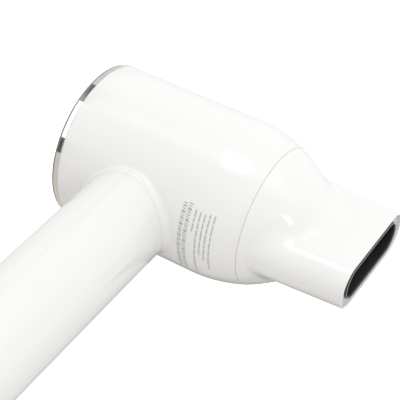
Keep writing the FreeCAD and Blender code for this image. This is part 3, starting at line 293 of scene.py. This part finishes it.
# The arguments in their order, with sizes in millimetres:
# moulded: colour, gloss, size and depth of the grain
# metal: colour, gloss, run of the tool lines, their width and depth
# banded: light and dark colour, pitch, gloss, direction, depth of the bands, metallic
# woven: light and dark colour, pitch
# circuit: colours of the board and of its tracks
FINISHES = {
    "white_gloss": moulded("white_gloss", GLOSS_WHITE, edge=0.25, **SMOOTH),
    "button_white": moulded("button_white", WARM_WHITE, edge=0.3, **{**SMOOTH, "gloss": 0.2}),
    "trim_chrome": metal("trim_chrome", (0.78, 0.78, 0.775), 0.06, CROSSWISE, 1.5, 0.002),
    "cover_grey": moulded(
        "cover_grey", (0.60, 0.60, 0.595), 0.34, 0.35, 0.012, patch=0.05, edge=0.4),
    "filter_steel": woven("filter_steel", (0.60, 0.60, 0.61), (0.02, 0.02, 0.02), 0.5),
    "inner_black": moulded(
        "inner_black", (0.022, 0.023, 0.025), 0.33, 0.4, 0.010, patch=0.15, edge=0.5),
    "inner_grey": moulded(
        "inner_grey", (0.29, 0.29, 0.30), 0.45, 0.5, 0.012, patch=0.08, edge=0.4),
    "gland_rubber": moulded(
        "gland_rubber", (0.52, 0.52, 0.51), 0.6, 0.3, 0.02, patch=0.10, edge=0.3),
    "damper_rubber": moulded("damper_rubber", (0.035, 0.035, 0.035), 0.62, 0.3, 0.02, patch=0.2),
    "motor_metal": metal("motor_metal", (0.60, 0.61, 0.63), 0.28, CROSSWISE, 0.25, 0.006),
    "bright_steel": metal("bright_steel", (0.62, 0.62, 0.63), 0.22, CROSSWISE, 0.2, 0.005),
    "magnet_nickel": metal("magnet_nickel", (0.60, 0.585, 0.55), 0.14, LENGTHWISE, 0.6, 0.003),
    "copper": banded(
        "copper", (0.72, 0.36, 0.17), (0.22, 0.07, 0.03), 0.35, 0.3, "X", 0.05, 1.0),
    "heater_wire": banded(
        "heater_wire", (0.42, 0.38, 0.35), (0.12, 0.10, 0.10), 0.5, 0.45, "Y", 0.02, 1.0),
    "mica": banded("mica", (0.60, 0.53, 0.40), (0.44, 0.37, 0.26), 2.4, 0.4, "X"),
    "board_green": circuit("board_green", (0.015, 0.14, 0.055), (0.06, 0.30, 0.14)),
    "component_black": moulded(
        "component_black", (0.028, 0.028, 0.03), 0.4, 0.3, 0.01, patch=0.2, edge=0.5),
    "sensor": moulded("sensor", (0.74, 0.71, 0.64), 0.25, 0.5, 0.006, coat=0.3, patch=0.06),
    "light_clear": moulded(
        "light_clear", (0.90, 0.92, 0.94), 0.25, 0.6, 0.006, coat=0.3, patch=0.03),
    "lead_red": moulded("lead_red", (0.44, 0.04, 0.03), 0.42, 0.8, 0.012, patch=0.12),
    "lead_white": moulded("lead_white", (0.66, 0.66, 0.63), 0.42, 0.8, 0.012, patch=0.10),
    "lead_blue": moulded("lead_blue", (0.04, 0.10, 0.36), 0.42, 0.8, 0.012, patch=0.12),
}
# Two finishes of single pieces.
PRINT_GREY = moulded("print_grey", (0.47, 0.475, 0.48), 0.4, 0.4, 0.004, patch=0.08)
DARK_EDGE_METAL = metal("dark_edge_metal", (0.25, 0.24, 0.225), 0.42, CROSSWISE, 0.8, 0.003)


def put_on(thing, material):
    thing.data.materials.clear()
    thing.data.materials.append(material)


for subpart in record["subparts"]:
    put_on(frame["nodes"][subpart["node"]], FINISHES[subpart["material_slot"]])


# ---------------------------------------------------------------- mesh helpers

def new_thing(name, points, faces):
    """A mesh, in metres, as an object of the scene."""
    mesh = bpy.data.meshes.new(name)
    mesh.from_pydata(points, [], faces)
    thing = bpy.data.objects.new(name, mesh)
    bpy.context.scene.collection.objects.link(thing)
    return thing


def piece_from(name, points, faces, slot_name, body, material=None, smooth=True):
    """A piece of the dryer that rides on a body; its points are drawn upright, in millimetres."""
    thing = new_thing(name, [laid(point) for point in points], faces)
    mesh = thing.data
    mesh.validate()
    mesh.update()
    mesh.polygons.foreach_set("use_smooth", [smooth] * len(mesh.polygons))
    put_on(thing, material or FINISHES[slot_name])
    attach(thing, body)
    shell = bmesh.new()
    shell.from_mesh(mesh)
    bmesh.ops.recalc_face_normals(shell, faces=shell.faces)
    shell.to_mesh(mesh)
    shell.free()
    return thing


def wrapped(name, rows, slot_name, body, **looks):
    """A closed skin whose rows, and the points in each row, both run round to their start."""
    count, width = len(rows), len(rows[0])
    faces = []
    for row in range(count):
        here, after = row * width, (row + 1) % count * width
        for item in range(width):
            beside = (item + 1) % width
            faces.append((here + item, here + beside, after + beside, after + item))
    points = [point for row in rows for point in row]
    return piece_from(name, points, faces, slot_name, body, **looks)


# ---------------------------------------------------------------- the barrel and its ring

BARREL_RADIUS = 38.0
RING_REAR, RING_FRONT, RING_INNER = -41.0, -37.88, 35.15
RING_LIP = 0.38                   # how far the ring reaches over the barrel's bevelled end
RING_CORNER = 0.12
EDGE_LENGTH, EDGE_DEPTH, EDGE_ROUND, EDGE_FIT = 1.0, 1.0, 0.8, 0.03
BEVEL, FINE_BEVEL = 0.05, 0.03
ROW_GAP = 0.1                     # from an edge to the row that keeps the face beside it flat
TURN_STEPS, CORNER_STEPS = 288, 6


def turned(name, profile, slot_name, body, **looks):
    """A closed turned piece; the profile is (along, radius) all the way round its section."""
    rows = []
    for step in range(TURN_STEPS):
        angle = 2 * math.pi * step / TURN_STEPS
        rows.append([(x, radius * math.cos(angle), radius * math.sin(angle))
                     for x, radius in profile])
    return wrapped(name, rows, slot_name, body, **looks)


def corner_rows(x, radius, size, start):
    """A quarter circle of a profile round (x, radius), from one direction in degrees on."""
    rows = []
    for step in range(CORNER_STEPS + 1):
        turn = math.radians(start + 90 * step / CORNER_STEPS)
        rows.append((x + size * math.cos(turn), radius + size * math.sin(turn)))
    return rows


def chrome_ring():
    """The bright ring round the rear cover, close up to the barrel, stepped for its darker edge."""
    outside, step = BARREL_RADIUS, BARREL_RADIUS - EDGE_DEPTH
    lip_end, rear = RING_FRONT + RING_LIP, RING_REAR + EDGE_LENGTH
    middle = RING_INNER + RING_CORNER
    profile = [(RING_FRONT, outside - RING_LIP), (lip_end - FINE_BEVEL, outside - FINE_BEVEL)]
    profile += [(lip_end - BEVEL, outside), (RING_FRONT + 2 * ROW_GAP, outside)]
    profile += [(rear + RING_CORNER, outside), (rear + BEVEL, outside), (rear, outside - BEVEL)]
    profile += [(rear, step), (RING_REAR + FINE_BEVEL, step), (RING_REAR, step - FINE_BEVEL)]
    profile += [(RING_REAR, step - ROW_GAP), (RING_REAR, middle + ROW_GAP)]
    profile += corner_rows(RING_REAR + RING_CORNER, middle, RING_CORNER, 180)
    profile += corner_rows(RING_FRONT - RING_CORNER, middle, RING_CORNER, 270)
    thing = turned("chrome_ring", profile, "trim_chrome", "rear_cover")
    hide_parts("rear_trim_ring")


def ring_edge():
    """The rounded outer edge of the ring, in a darker, rougher metal than the rest of the ring."""
    radius = BARREL_RADIUS - EDGE_FIT
    front = RING_REAR + EDGE_LENGTH - EDGE_FIT
    inner = BARREL_RADIUS - EDGE_DEPTH + EDGE_FIT
    profile = [(front, inner), (front, radius - BEVEL), (front - BEVEL, radius)]
    profile += corner_rows(RING_REAR + EDGE_ROUND, radius - EDGE_ROUND, EDGE_ROUND, 90)
    profile += [(RING_REAR, inner)]
    turned("ring_edge", profile, "trim_chrome", "rear_cover", material=DARK_EDGE_METAL)


# ---------------------------------------------------------------- the print and the neck's seam

SHOULDER_START, SHOULDER_BEND = 30.0, 66.5   # where the barrel starts to narrow, and its bend
PRINT_RISE = 0.03    # the bars stand this far above the barrel, and reach as far into it
PRINT_ZERO = -94.5   # the direction from the barrel's axis that the places round it start from
PRINT_SPACE = 0.9
PRINT_ROWS = (
    # along the barrel and width in mm, first and last place round it and lengths of bars in degrees
    (28.3, 1.8, 26.0, -31.0, (0.8, 1.4, 0.7, 2.2)),
    (30.9, 1.8, 27.0, -32.0, (1.0, 0.7, 1.9, 0.8)),
    (34.0, 0.6, 24.1, 7.7, (5.0, 3.2, 6.0)),
    (36.3, 0.6, 23.6, -33.0, (7.0, 4.5, 5.5, 9.0, 5.0, 26.0)),
    (38.5, 0.6, 23.3, -9.8, (6.0, 4.0, 8.0)),
    (40.7, 0.6, 24.3, -13.5, (3.0, 5.5, 4.0, 7.0)),
    (42.9, 0.6, 24.6, -21.7, (5.5, 8.5, 3.5, 6.0)))
CORNERS = ((-1, -1), (-1, 1), (1, 1), (1, -1))   # of a bar's section: along the barrel, outwards


def barrel_reach(x):
    """Radius of the barrel's outside at one place along it."""
    past = max(0.0, x - SHOULDER_START)
    return BARREL_RADIUS - SHOULDER_BEND + math.sqrt(SHOULDER_BEND ** 2 - past * past)


def bar_sections(x, width, start, end):
    """Sections of one thin curved bar on the barrel, from one place round it to the other."""
    steps = max(2, round(abs(end - start)))
    rows = []
    for step in range(steps + 1):
        angle = math.radians(PRINT_ZERO - start - (end - start) * step / steps)
        row = []
        for along, rise in CORNERS:
            place = x + along * width / 2
            radius = barrel_reach(place) + rise * PRINT_RISE
            row.append((place, radius * math.cos(angle), radius * math.sin(angle)))
        rows.append(row)
    return rows


def bar_faces(first, count):
    """Faces of a bar of so many sections: its sides and its two ends."""
    width = len(CORNERS)
    last = first + width * (count - 1)
    faces = []
    for here in range(first, last, width):
        after = here + width
        for corner in range(width):
            beside = (corner + 1) % width
            faces.append((here + corner, here + beside, after + beside, after + corner))
    faces.append(tuple(range(first + width - 1, first - 1, -1)))
    faces.append(tuple(range(last, last + width)))
    return faces


def print_rows():
    """Plain rows of short bars in the place of the printed block; they spell and show nothing."""
    points, faces = [], []
    for x, width, start, end, lengths in PRINT_ROWS:
        here, turn = start, 0
        while here > end:
            after = max(end, here - lengths[turn % len(lengths)])
            sections = bar_sections(x, width, here, after)
            faces += bar_faces(len(points), len(sections))
            points += [point for section in sections for point in section]
            here = after - PRINT_SPACE
            turn += 1
    piece_from("print_rows", points, faces, "cover_grey", "housing", PRINT_GREY, smooth=False)


HANDLE_RADIUS = 22.05
SEAM_RADIUS = 41.4   # of the seam's saddle, round the barrel's axis
SEAM_HALF, SEAM_DEPTH, SEAM_SINK = 0.08, 1.2, 0.06
SEAM_STEPS = 240


def neck_bead():
    """The thin white bead that fills the seam between the barrel's neck and the handle."""
    rows = []
    for step in range(SEAM_STEPS):
        angle = 2 * math.pi * step / SEAM_STEPS
        row = []
        for side, depth in ((-1, SEAM_DEPTH), (-1, SEAM_SINK), (1, SEAM_SINK), (1, SEAM_DEPTH)):
            radius = HANDLE_RADIUS - depth
            x, y = radius * math.cos(angle), radius * math.sin(angle)
            row.append((x, y, -math.sqrt((SEAM_RADIUS + side * SEAM_HALF) ** 2 - y * y)))
        rows.append(row)
    wrapped("neck_bead", rows, "white_gloss", "housing")


chrome_ring()
ring_edge()
neck_bead()
print_rows()


# ---------------------------------------------------------------- the nozzle

DOME_BEND, DOME_MIDDLE, DOME_DROP = 80.0, 21.04, 39.3   # the arc that is turned into the dome
SEAM, TIP = 54.70, 104.0
WALL, SHELL_EDGE = 1.0, 0.25
BLEND, BLEND_EDGE = 9.0, 3.0                            # of the flat mouth's wide and narrow sides
BLEND_START, BLEND_FULL = 56.0, 66.0
FACING_START, FACING_SPAN = 0.2, 0.5                    # cosines where one side meets the other
# Sections of the flat mouth: place along the barrel, half height, half width, corner radius.
SHELL_REAR = (56.0, 31.3, 11.8, 10.6)
SHELL_FRONT = (TIP, 28.9, 11.2, 10.6)
LINING_START, LINING_TIP = 58.0, 103.5
LINING_WALL, LINING_FIT = 1.0, 0.12
LINING_SIZE = (23.8, 8.1, 7.8)
LINING_REAR = (LINING_START, *LINING_SIZE)
LINING_FRONT = (LINING_TIP, *LINING_SIZE)
BEZEL_FACE, BEZEL_DEPTH, BEZEL_FIT = 102.7, 0.6, 0.06
RIM_BEAD, RIM_INSET, RIM_AHEAD, RIM_END = 0.2, 0.32, 0.12, 0.4
RIM_STEPS = 10
BEAD_START, BEAD_END, BEAD_SINK, BEAD_DEPTH = 54.60, 54.83, 0.2, 1.0
DIRECTIONS, FINE_DIRECTIONS = 384, 7200
SHELL_ROWS, LINING_ROWS, INSIDE_ROWS, LIP_STEPS = 110, 80, 70, 8


def oblong_reach(angle, high, wide, corner):
    """Distance from the middle to the side of a rounded upright rectangle, in one direction."""
    across, up = abs(math.cos(angle)), abs(math.sin(angle))
    if across * (high - corner) >= wide * up:
        return wide / across
    if up * (wide - corner) >= high * across:
        return high / up
    middle = Vector((wide - corner, high - corner))
    near = middle.x * across + middle.y * up
    return near + math.sqrt(max(0.0, near * near - middle.length_squared + corner * corner))


def dome_reach(x, inset):
    """Distance from the axis to the dome; past the dome's end it is negative."""
    square = (DOME_BEND - inset) ** 2 - (x - DOME_MIDDLE) ** 2
    return math.sqrt(square) - DOME_DROP if square > 0 else -DOME_DROP


def eased(value):
    """A smooth step from 0 to 1."""
    value = min(1.0, max(0.0, value))
    return value * value * (3 - 2 * value)


def nozzle_reach(x, angle, inset_dome, inset_mouth, rear, front):
    """Distance from the axis to the nozzle's side: a dome and a flat mouth, softly joined."""
    share = (x - rear[0]) / (front[0] - rear[0])
    high, wide, corner = (a + (b - a) * share - inset_mouth for a, b in zip(rear[1:], front[1:]))
    flat = oblong_reach(angle, high, wide, corner)
    round_side = dome_reach(x, inset_dome)
    facing = eased((abs(math.cos(angle)) - FACING_START) / FACING_SPAN)
    grown = eased((x - BLEND_START) / (BLEND_FULL - BLEND_START))
    blend = (BLEND_EDGE + (BLEND - BLEND_EDGE) * facing) * grown
    gap = abs(flat - round_side)
    swell = (blend - gap) ** 2 / (4 * blend) if gap < blend else 0.0
    return max(flat, round_side) + swell


def even_directions(high, wide, corner):
    """Directions that are evenly spaced along the side of the mouth."""
    angles = [2 * math.pi * step / FINE_DIRECTIONS for step in range(FINE_DIRECTIONS + 1)]
    points = [Vector((math.cos(a), math.sin(a))) * oblong_reach(a, high, wide, corner)
              for a in angles]
    walked = [0.0]
    for before, after in zip(points, points[1:]):
        walked.append(walked[-1] + (after - before).length)
    found, index = [], 0
    for step in range(DIRECTIONS):
        goal = walked[-1] * step / DIRECTIONS
        while walked[index + 1] < goal:
            index += 1
        share = (goal - walked[index]) / (walked[index + 1] - walked[index])
        found.append(angles[index] + (angles[index + 1] - angles[index]) * share)
    return found


ANGLES = even_directions(*SHELL_FRONT[1:])


def row_of(x, reach):
    """The points round the axis at one place along it; reach gives their distance by direction."""
    return [(x, math.cos(a) * reach(a), math.sin(a) * reach(a)) for a in ANGLES]


def skin(name, profile, rear, front, slot_name, body):
    """A closed wall whose rows are (x, inset of the dome, inset of the mouth)."""
    rows = []
    for x, dome, mouth in profile:
        rows.append(row_of(x, lambda a: nozzle_reach(x, a, dome, mouth, rear, front)))
    return wrapped(name, rows, slot_name, body)


def spaced(start, end, count):
    """Even places from start to end."""
    return [start + (end - start) * step / (count - 1) for step in range(count)]


def lip(tip, wall):
    """Rows round the rounded front edge of a wall, from its outside to its inside."""
    half = wall / 2
    rows = []
    for step in range(LIP_STEPS + 1):
        turn = math.pi * step / LIP_STEPS
        rows.append((tip - half + half * math.sin(turn), half - half * math.cos(turn)))
    return rows


def nozzle_shell():
    """The white shell, from the dome behind the seam to the flat mouth."""
    edge, bevel = SHELL_EDGE, SHELL_EDGE * 0.3
    front = TIP - WALL / 2 - ROW_GAP
    profile = [(SEAM, WALL, WALL), (SEAM, edge, edge), (SEAM + bevel, bevel, bevel)]
    profile += [(x, 0.0, 0.0) for x in spaced(SEAM + edge, front, SHELL_ROWS)]
    profile += [(x, inset, inset) for x, inset in lip(TIP, WALL)]
    profile += [(x, WALL, WALL) for x in spaced(front, SEAM + 2 * ROW_GAP, INSIDE_ROWS)]
    shell = skin("nozzle_shell_skin", profile, SHELL_REAR, SHELL_FRONT, "white_gloss", "nozzle")
    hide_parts("nozzle_shell")


def nozzle_lining():
    """The dark lining, close inside the dome and then straight to the mouth."""
    outside, wall = WALL + LINING_FIT, LINING_WALL
    rear, front = LINING_START + ROW_GAP, LINING_TIP - wall / 2 - ROW_GAP
    profile = [(LINING_START, outside + wall, wall), (LINING_START, outside, 0.0)]
    profile += [(x, outside, 0.0) for x in spaced(rear, front, LINING_ROWS)]
    profile += [(x, outside + inset, inset) for x, inset in lip(LINING_TIP, wall)]
    profile += [(x, outside + wall, wall) for x in spaced(front, rear, INSIDE_ROWS)]
    lining = skin(
        "nozzle_lining_skin", profile, LINING_REAR, LINING_FRONT, "inner_black", "nozzle")
    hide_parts("nozzle_lining")


def mouth_bezel():
    """The pale plate between the lining and the shell, set back in the mouth."""
    high, wide, corner = (size + BEZEL_FIT for size in LINING_SIZE)
    inset = WALL + BEZEL_FIT

    def hole(x):
        return row_of(x, lambda a: oblong_reach(a, high, wide, corner))

    def outline(x):
        return row_of(x, lambda a: nozzle_reach(x, a, inset, inset, SHELL_REAR, SHELL_FRONT))

    back = BEZEL_FACE - BEZEL_DEPTH
    rows = [hole(BEZEL_FACE), outline(BEZEL_FACE), outline(back), hole(back)]
    wrapped("mouth_bezel", rows, "cover_grey", "nozzle", smooth=False)


def painted_highlight_rim():
    """The lining's rounded edge in a paler grey: a painted highlight along its lip."""
    profile = []
    for step in range(RIM_STEPS):
        turn = 2 * math.pi * step / RIM_STEPS
        inset = RIM_INSET + RIM_BEAD * math.sin(turn)
        profile.append((LINING_TIP + RIM_AHEAD + RIM_BEAD * math.cos(turn), inset, inset))
    end = (LINING_TIP + RIM_END, *LINING_SIZE)
    # Paler grey than the black lining: painted highlight along the lining's lip.
    skin("painted_highlight_rim", profile, LINING_REAR, end, "inner_grey", "nozzle")


def seam_bead():
    """A white bead on the nozzle's rear edge, so the seam to the barrel is shallow."""
    radius = dome_reach(SEAM, 0.0)
    top, foot = radius - BEAD_SINK, radius - BEAD_DEPTH
    profile = [(BEAD_START, foot), (BEAD_START, top), (BEAD_END, top), (BEAD_END, foot)]
    turned("seam_bead", profile, "white_gloss", "nozzle")


nozzle_shell()
nozzle_lining()
seam_bead()
mouth_bezel()
painted_highlight_rim()


# ---------------------------------------------------------------- the studio

SQUARE = [(-1, -1, 0), (1, -1, 0), (1, 1, 0), (-1, 1, 0)]
SQUARE_FACE = [(0, 1, 2, 3)]
FLOOR_HALF = 6.0
FLOOR_GLOW = 0.6
PAPER = (0.93, 0.93, 0.93)


def studio_floor():
    """A pale floor that glows a little, as on a light table, and throws no light back."""
    corners = [(x * FLOOR_HALF, y * FLOOR_HALF, z) for x, y, z in SQUARE]
    floor = new_thing("floor", corners, SQUARE_FACE)
    material, shader = new_material("floor_paper")
    make = Maker(material)
    cloud = make.mixed(make.noise(size_mm=400.0, detail=3.0), shade(PAPER, 0.99), PAPER)
    make.link(cloud, shader.inputs["Base Color"])
    shader.inputs["Roughness"].default_value = 0.7
    shader.inputs["Specular IOR Level"].default_value = 0.2
    shader.inputs["Emission Color"].default_value = (1.0, 1.0, 1.0, 1.0)
    shader.inputs["Emission Strength"].default_value = FLOOR_GLOW
    put_on(floor, material)
    floor.visible_diffuse = False
    floor.visible_glossy = False


WORLD_LOW, WORLD_HIGH = (0.656, 0.6285, 0.609), (1.282, 1.29, 1.291)
WORLD_TOWARDS = (0.287, 0.218, 0.933)


def world_light():
    """A soft white surround that brightens evenly from one side of the sky to the other."""
    world = bpy.data.worlds.new("studio")
    world.use_nodes = True
    tree = world.node_tree
    place = tree.nodes.new("ShaderNodeTexCoord")
    dot = tree.nodes.new("ShaderNodeVectorMath")
    dot.operation = "DOT_PRODUCT"
    dot.inputs[1].default_value = Vector(WORLD_TOWARDS).normalized()
    share = tree.nodes.new("ShaderNodeMapRange")
    share.inputs["From Min"].default_value = -1.0
    blend = tree.nodes.new("ShaderNodeMix")
    blend.data_type = "RGBA"
    for socket, colour in zip(blend.inputs[MIX_FIRST:], (WORLD_LOW, WORLD_HIGH)):
        socket.default_value = (*colour, 1.0)
    tree.links.new(place.outputs["Generated"], dot.inputs[0])
    tree.links.new(dot.outputs["Value"], share.inputs["Value"])
    tree.links.new(share.outputs["Result"], blend.inputs["Factor"])
    tree.links.new(blend.outputs[MIX_RESULT], tree.nodes["Background"].inputs["Color"])
    bpy.context.scene.world = world


def card_material(name, level, round_edge):
    """A plain glowing or dark surface; a round edge fades out towards the rim."""
    material = bpy.data.materials.new(name)
    material.use_nodes = True
    tree = material.node_tree
    tree.nodes.clear()
    glow = tree.nodes.new("ShaderNodeEmission")
    glow.inputs["Color"].default_value = (*level, 1.0)
    output = tree.nodes.new("ShaderNodeOutputMaterial")
    if not round_edge:
        tree.links.new(glow.outputs["Emission"], output.inputs["Surface"])
        return material
    make = Maker(material)
    reach = make.node("VectorMath", operation="LENGTH")
    make.link(make.place, reach.inputs[0])
    clear = make.node("BsdfTransparent")
    mix = make.node("MixShader")
    fade = make.ranged(reach.outputs["Value"], 1.0 - round_edge, 1.0, 0.0, 1.0)
    make.link(fade, mix.inputs["Fac"])
    make.link(glow.outputs["Emission"], mix.inputs[1])
    make.link(clear.outputs["BSDF"], mix.inputs[2])
    make.link(mix.outputs["Shader"], output.inputs["Surface"])
    return material


def reflector(name, points, faces, level, round_edge=0.0):
    """A surface of the studio that shows only in what shines; level is its colour."""
    thing = new_thing(name, points, faces)
    put_on(thing, card_material(name, level, round_edge))
    thing.visible_camera = False
    thing.visible_diffuse = False
    thing.visible_shadow = False
    thing.visible_transmission = False
    return thing


def card(name, target, direction, distance, size, level, round_edge):
    """A flat reflector or flag that faces a place on the dryer, from one direction."""
    thing = reflector(name, SQUARE, SQUARE_FACE, level, round_edge)
    towards = Vector(direction).normalized()
    right = (Vector((1, 0, 0)) - towards * towards.x).normalized()
    turn = Matrix((right, towards.cross(right), towards)).transposed().to_4x4()
    middle = Matrix.Translation(target + towards * distance)
    thing.matrix_world = middle @ turn @ Matrix.Diagonal((size[0] / 2, size[1] / 2, 1, 1))


RING_PLACE = -39.4
RING_VIEW = 0.484            # how far the view mirrored in the ring leans to the rear, as a cosine
RING_VIEW_CHANGE = 0.019     # how much less it leans VIEW_SPAN degrees away from VIEW_TOP
VIEW_TOP, VIEW_SPAN = 30, 144
STRIP_REACH = 1.23           # from the barrel's axis, in metres
STRIP_REAR, STRIP_FRONT = 0.16, 0.015
STRIP_STEPS = 24


def ring_strip(name, start, end, level):
    """A narrow bent reflector for the chrome ring, over a range of angles round it."""
    side = math.sqrt(1 - RING_VIEW * RING_VIEW)
    middle = laid((RING_PLACE, 0, 0))
    points = []
    for step in range(STRIP_STEPS + 1):
        degrees = start + (end - start) * step / STRIP_STEPS
        slope = RING_VIEW - RING_VIEW_CHANGE * ((degrees - VIEW_TOP) / VIEW_SPAN) ** 2
        back = middle.x - slope * (STRIP_REACH - BARREL_RADIUS * MM) / side
        y = middle.y - STRIP_REACH * math.cos(math.radians(degrees))
        z = middle.z + STRIP_REACH * math.sin(math.radians(degrees))
        points += [(back - STRIP_REAR, y, z), (back + STRIP_FRONT, y, z)]
    faces = [(item, item + 1, item + 3, item + 2) for item in range(0, STRIP_STEPS * 2, 2)]
    reflector(name, points, faces, level)


def grey(level):
    return (level, level, level)


RING_STRIPS = (
    # name, first and last angle in degrees, colour
    ("top_strip", 111, 178, (0.80, 0.79, 0.77)),
    ("upper_gap", 79, 111, (0.13, 0.12, 0.11)),
    ("bright_strip", 22, 79, grey(1.45)),
    ("lower_gap", 0, 22, grey(0.02)),
    ("low_strip", -110, 0, (0.74, 0.69, 0.63)))

# Places that the cards face, in the shared frame, in metres.  The last two are close to the floor.
SHOULDER = laid((42, -5, 0)) + Vector((0, 0, 0.033))
DOME_SIDE = Vector((0.0386, 0.0676, 0.0546))
BARREL_SIDE = Vector((-0.020, 0.068, 0.072))
BARREL_FOOT = Vector((-0.018, 0.103, 0.0009))
HANDLE_FOOT = Vector((0.012, -0.045, 0.0007))
DOWN, FOOT_GAP, FAR = (0, 0, -1), 0.0005, 1.4

CARDS = (
    # name, place, direction, distance, size, colour, share of the card that fades towards its rim
    ("window", SHOULDER, (-0.082, -0.083, 0.99), 1.5, (1.03, 0.86), grey(2.9), 0.6),
    ("band_glow", BARREL_SIDE, (-0.43, -0.06, 0.90), FAR, (1.0, 0.50), grey(1.55), 0.5),
    ("side_lamp", DOME_SIDE, (0.860, -0.317, 0.400), FAR, (0.52, 0.18), grey(5.0), 0.4),
    ("under_gap", DOME_SIDE, (0.05, 0.20, -0.98), FAR, (2.0, 2.2), (0.28, 0.28, 0.27), 0.5),
    # The next card is a dark sheet on the floor under the barrel that shows only in reflections: a
    # painted shadow of the barrel.
    ("barrel_shadow_sheet", BARREL_FOOT, DOWN, FOOT_GAP, (0.17, 0.09), (0.32, 0.32, 0.31), 0.0),
    ("handle_glow", HANDLE_FOOT, DOWN, FOOT_GAP, (0.10, 0.36), (0.75, 0.75, 0.745), 0.8),
    ("front_glow", DOME_SIDE, (0.42, 0.08, 0.90), FAR, (1.3, 1.0), grey(1.9), 0.8))

CAMERA_AIM = (-0.01538, 0.08495, -0.0094)   # from the middle of the CAD box
CAMERA_FORWARD = (-0.37638, 0.69810, -0.60910)
CAMERA_DOWN = (0.38074, -0.48281, -0.78863)
CAMERA_DISTANCE = 0.5864
CAMERA_LENS, CAMERA_SENSOR = 113.56, 36.0
CAMERA_CLIP = (0.01, 20.0)


def camera():
    """The photo's view: a long lens that looks down on the barrel and the nozzle."""
    low, high = (Vector(corner) for corner in cad_box)
    aim = (low + high) / 2 + Vector(CAMERA_AIM)
    forward = Vector(CAMERA_FORWARD).normalized()
    right = Vector(CAMERA_DOWN).cross(forward).normalized()
    down = forward.cross(right)
    lens = bpy.data.cameras.new("camera")
    lens.lens = CAMERA_LENS
    lens.sensor_width = CAMERA_SENSOR
    lens.clip_start, lens.clip_end = CAMERA_CLIP
    thing = bpy.data.objects.new("camera", lens)
    turn = Matrix((right, -down, -forward)).transposed().to_4x4()
    thing.matrix_world = Matrix.Translation(aim - forward * CAMERA_DISTANCE) @ turn
    bpy.context.scene.collection.objects.link(thing)
    bpy.context.scene.camera = thing


studio_floor()
world_light()
for strip in RING_STRIPS:
    ring_strip(*strip)
for flat in CARDS:
    card(*flat)
camera()

bpy.context.scene.view_settings.view_transform = "Standard"
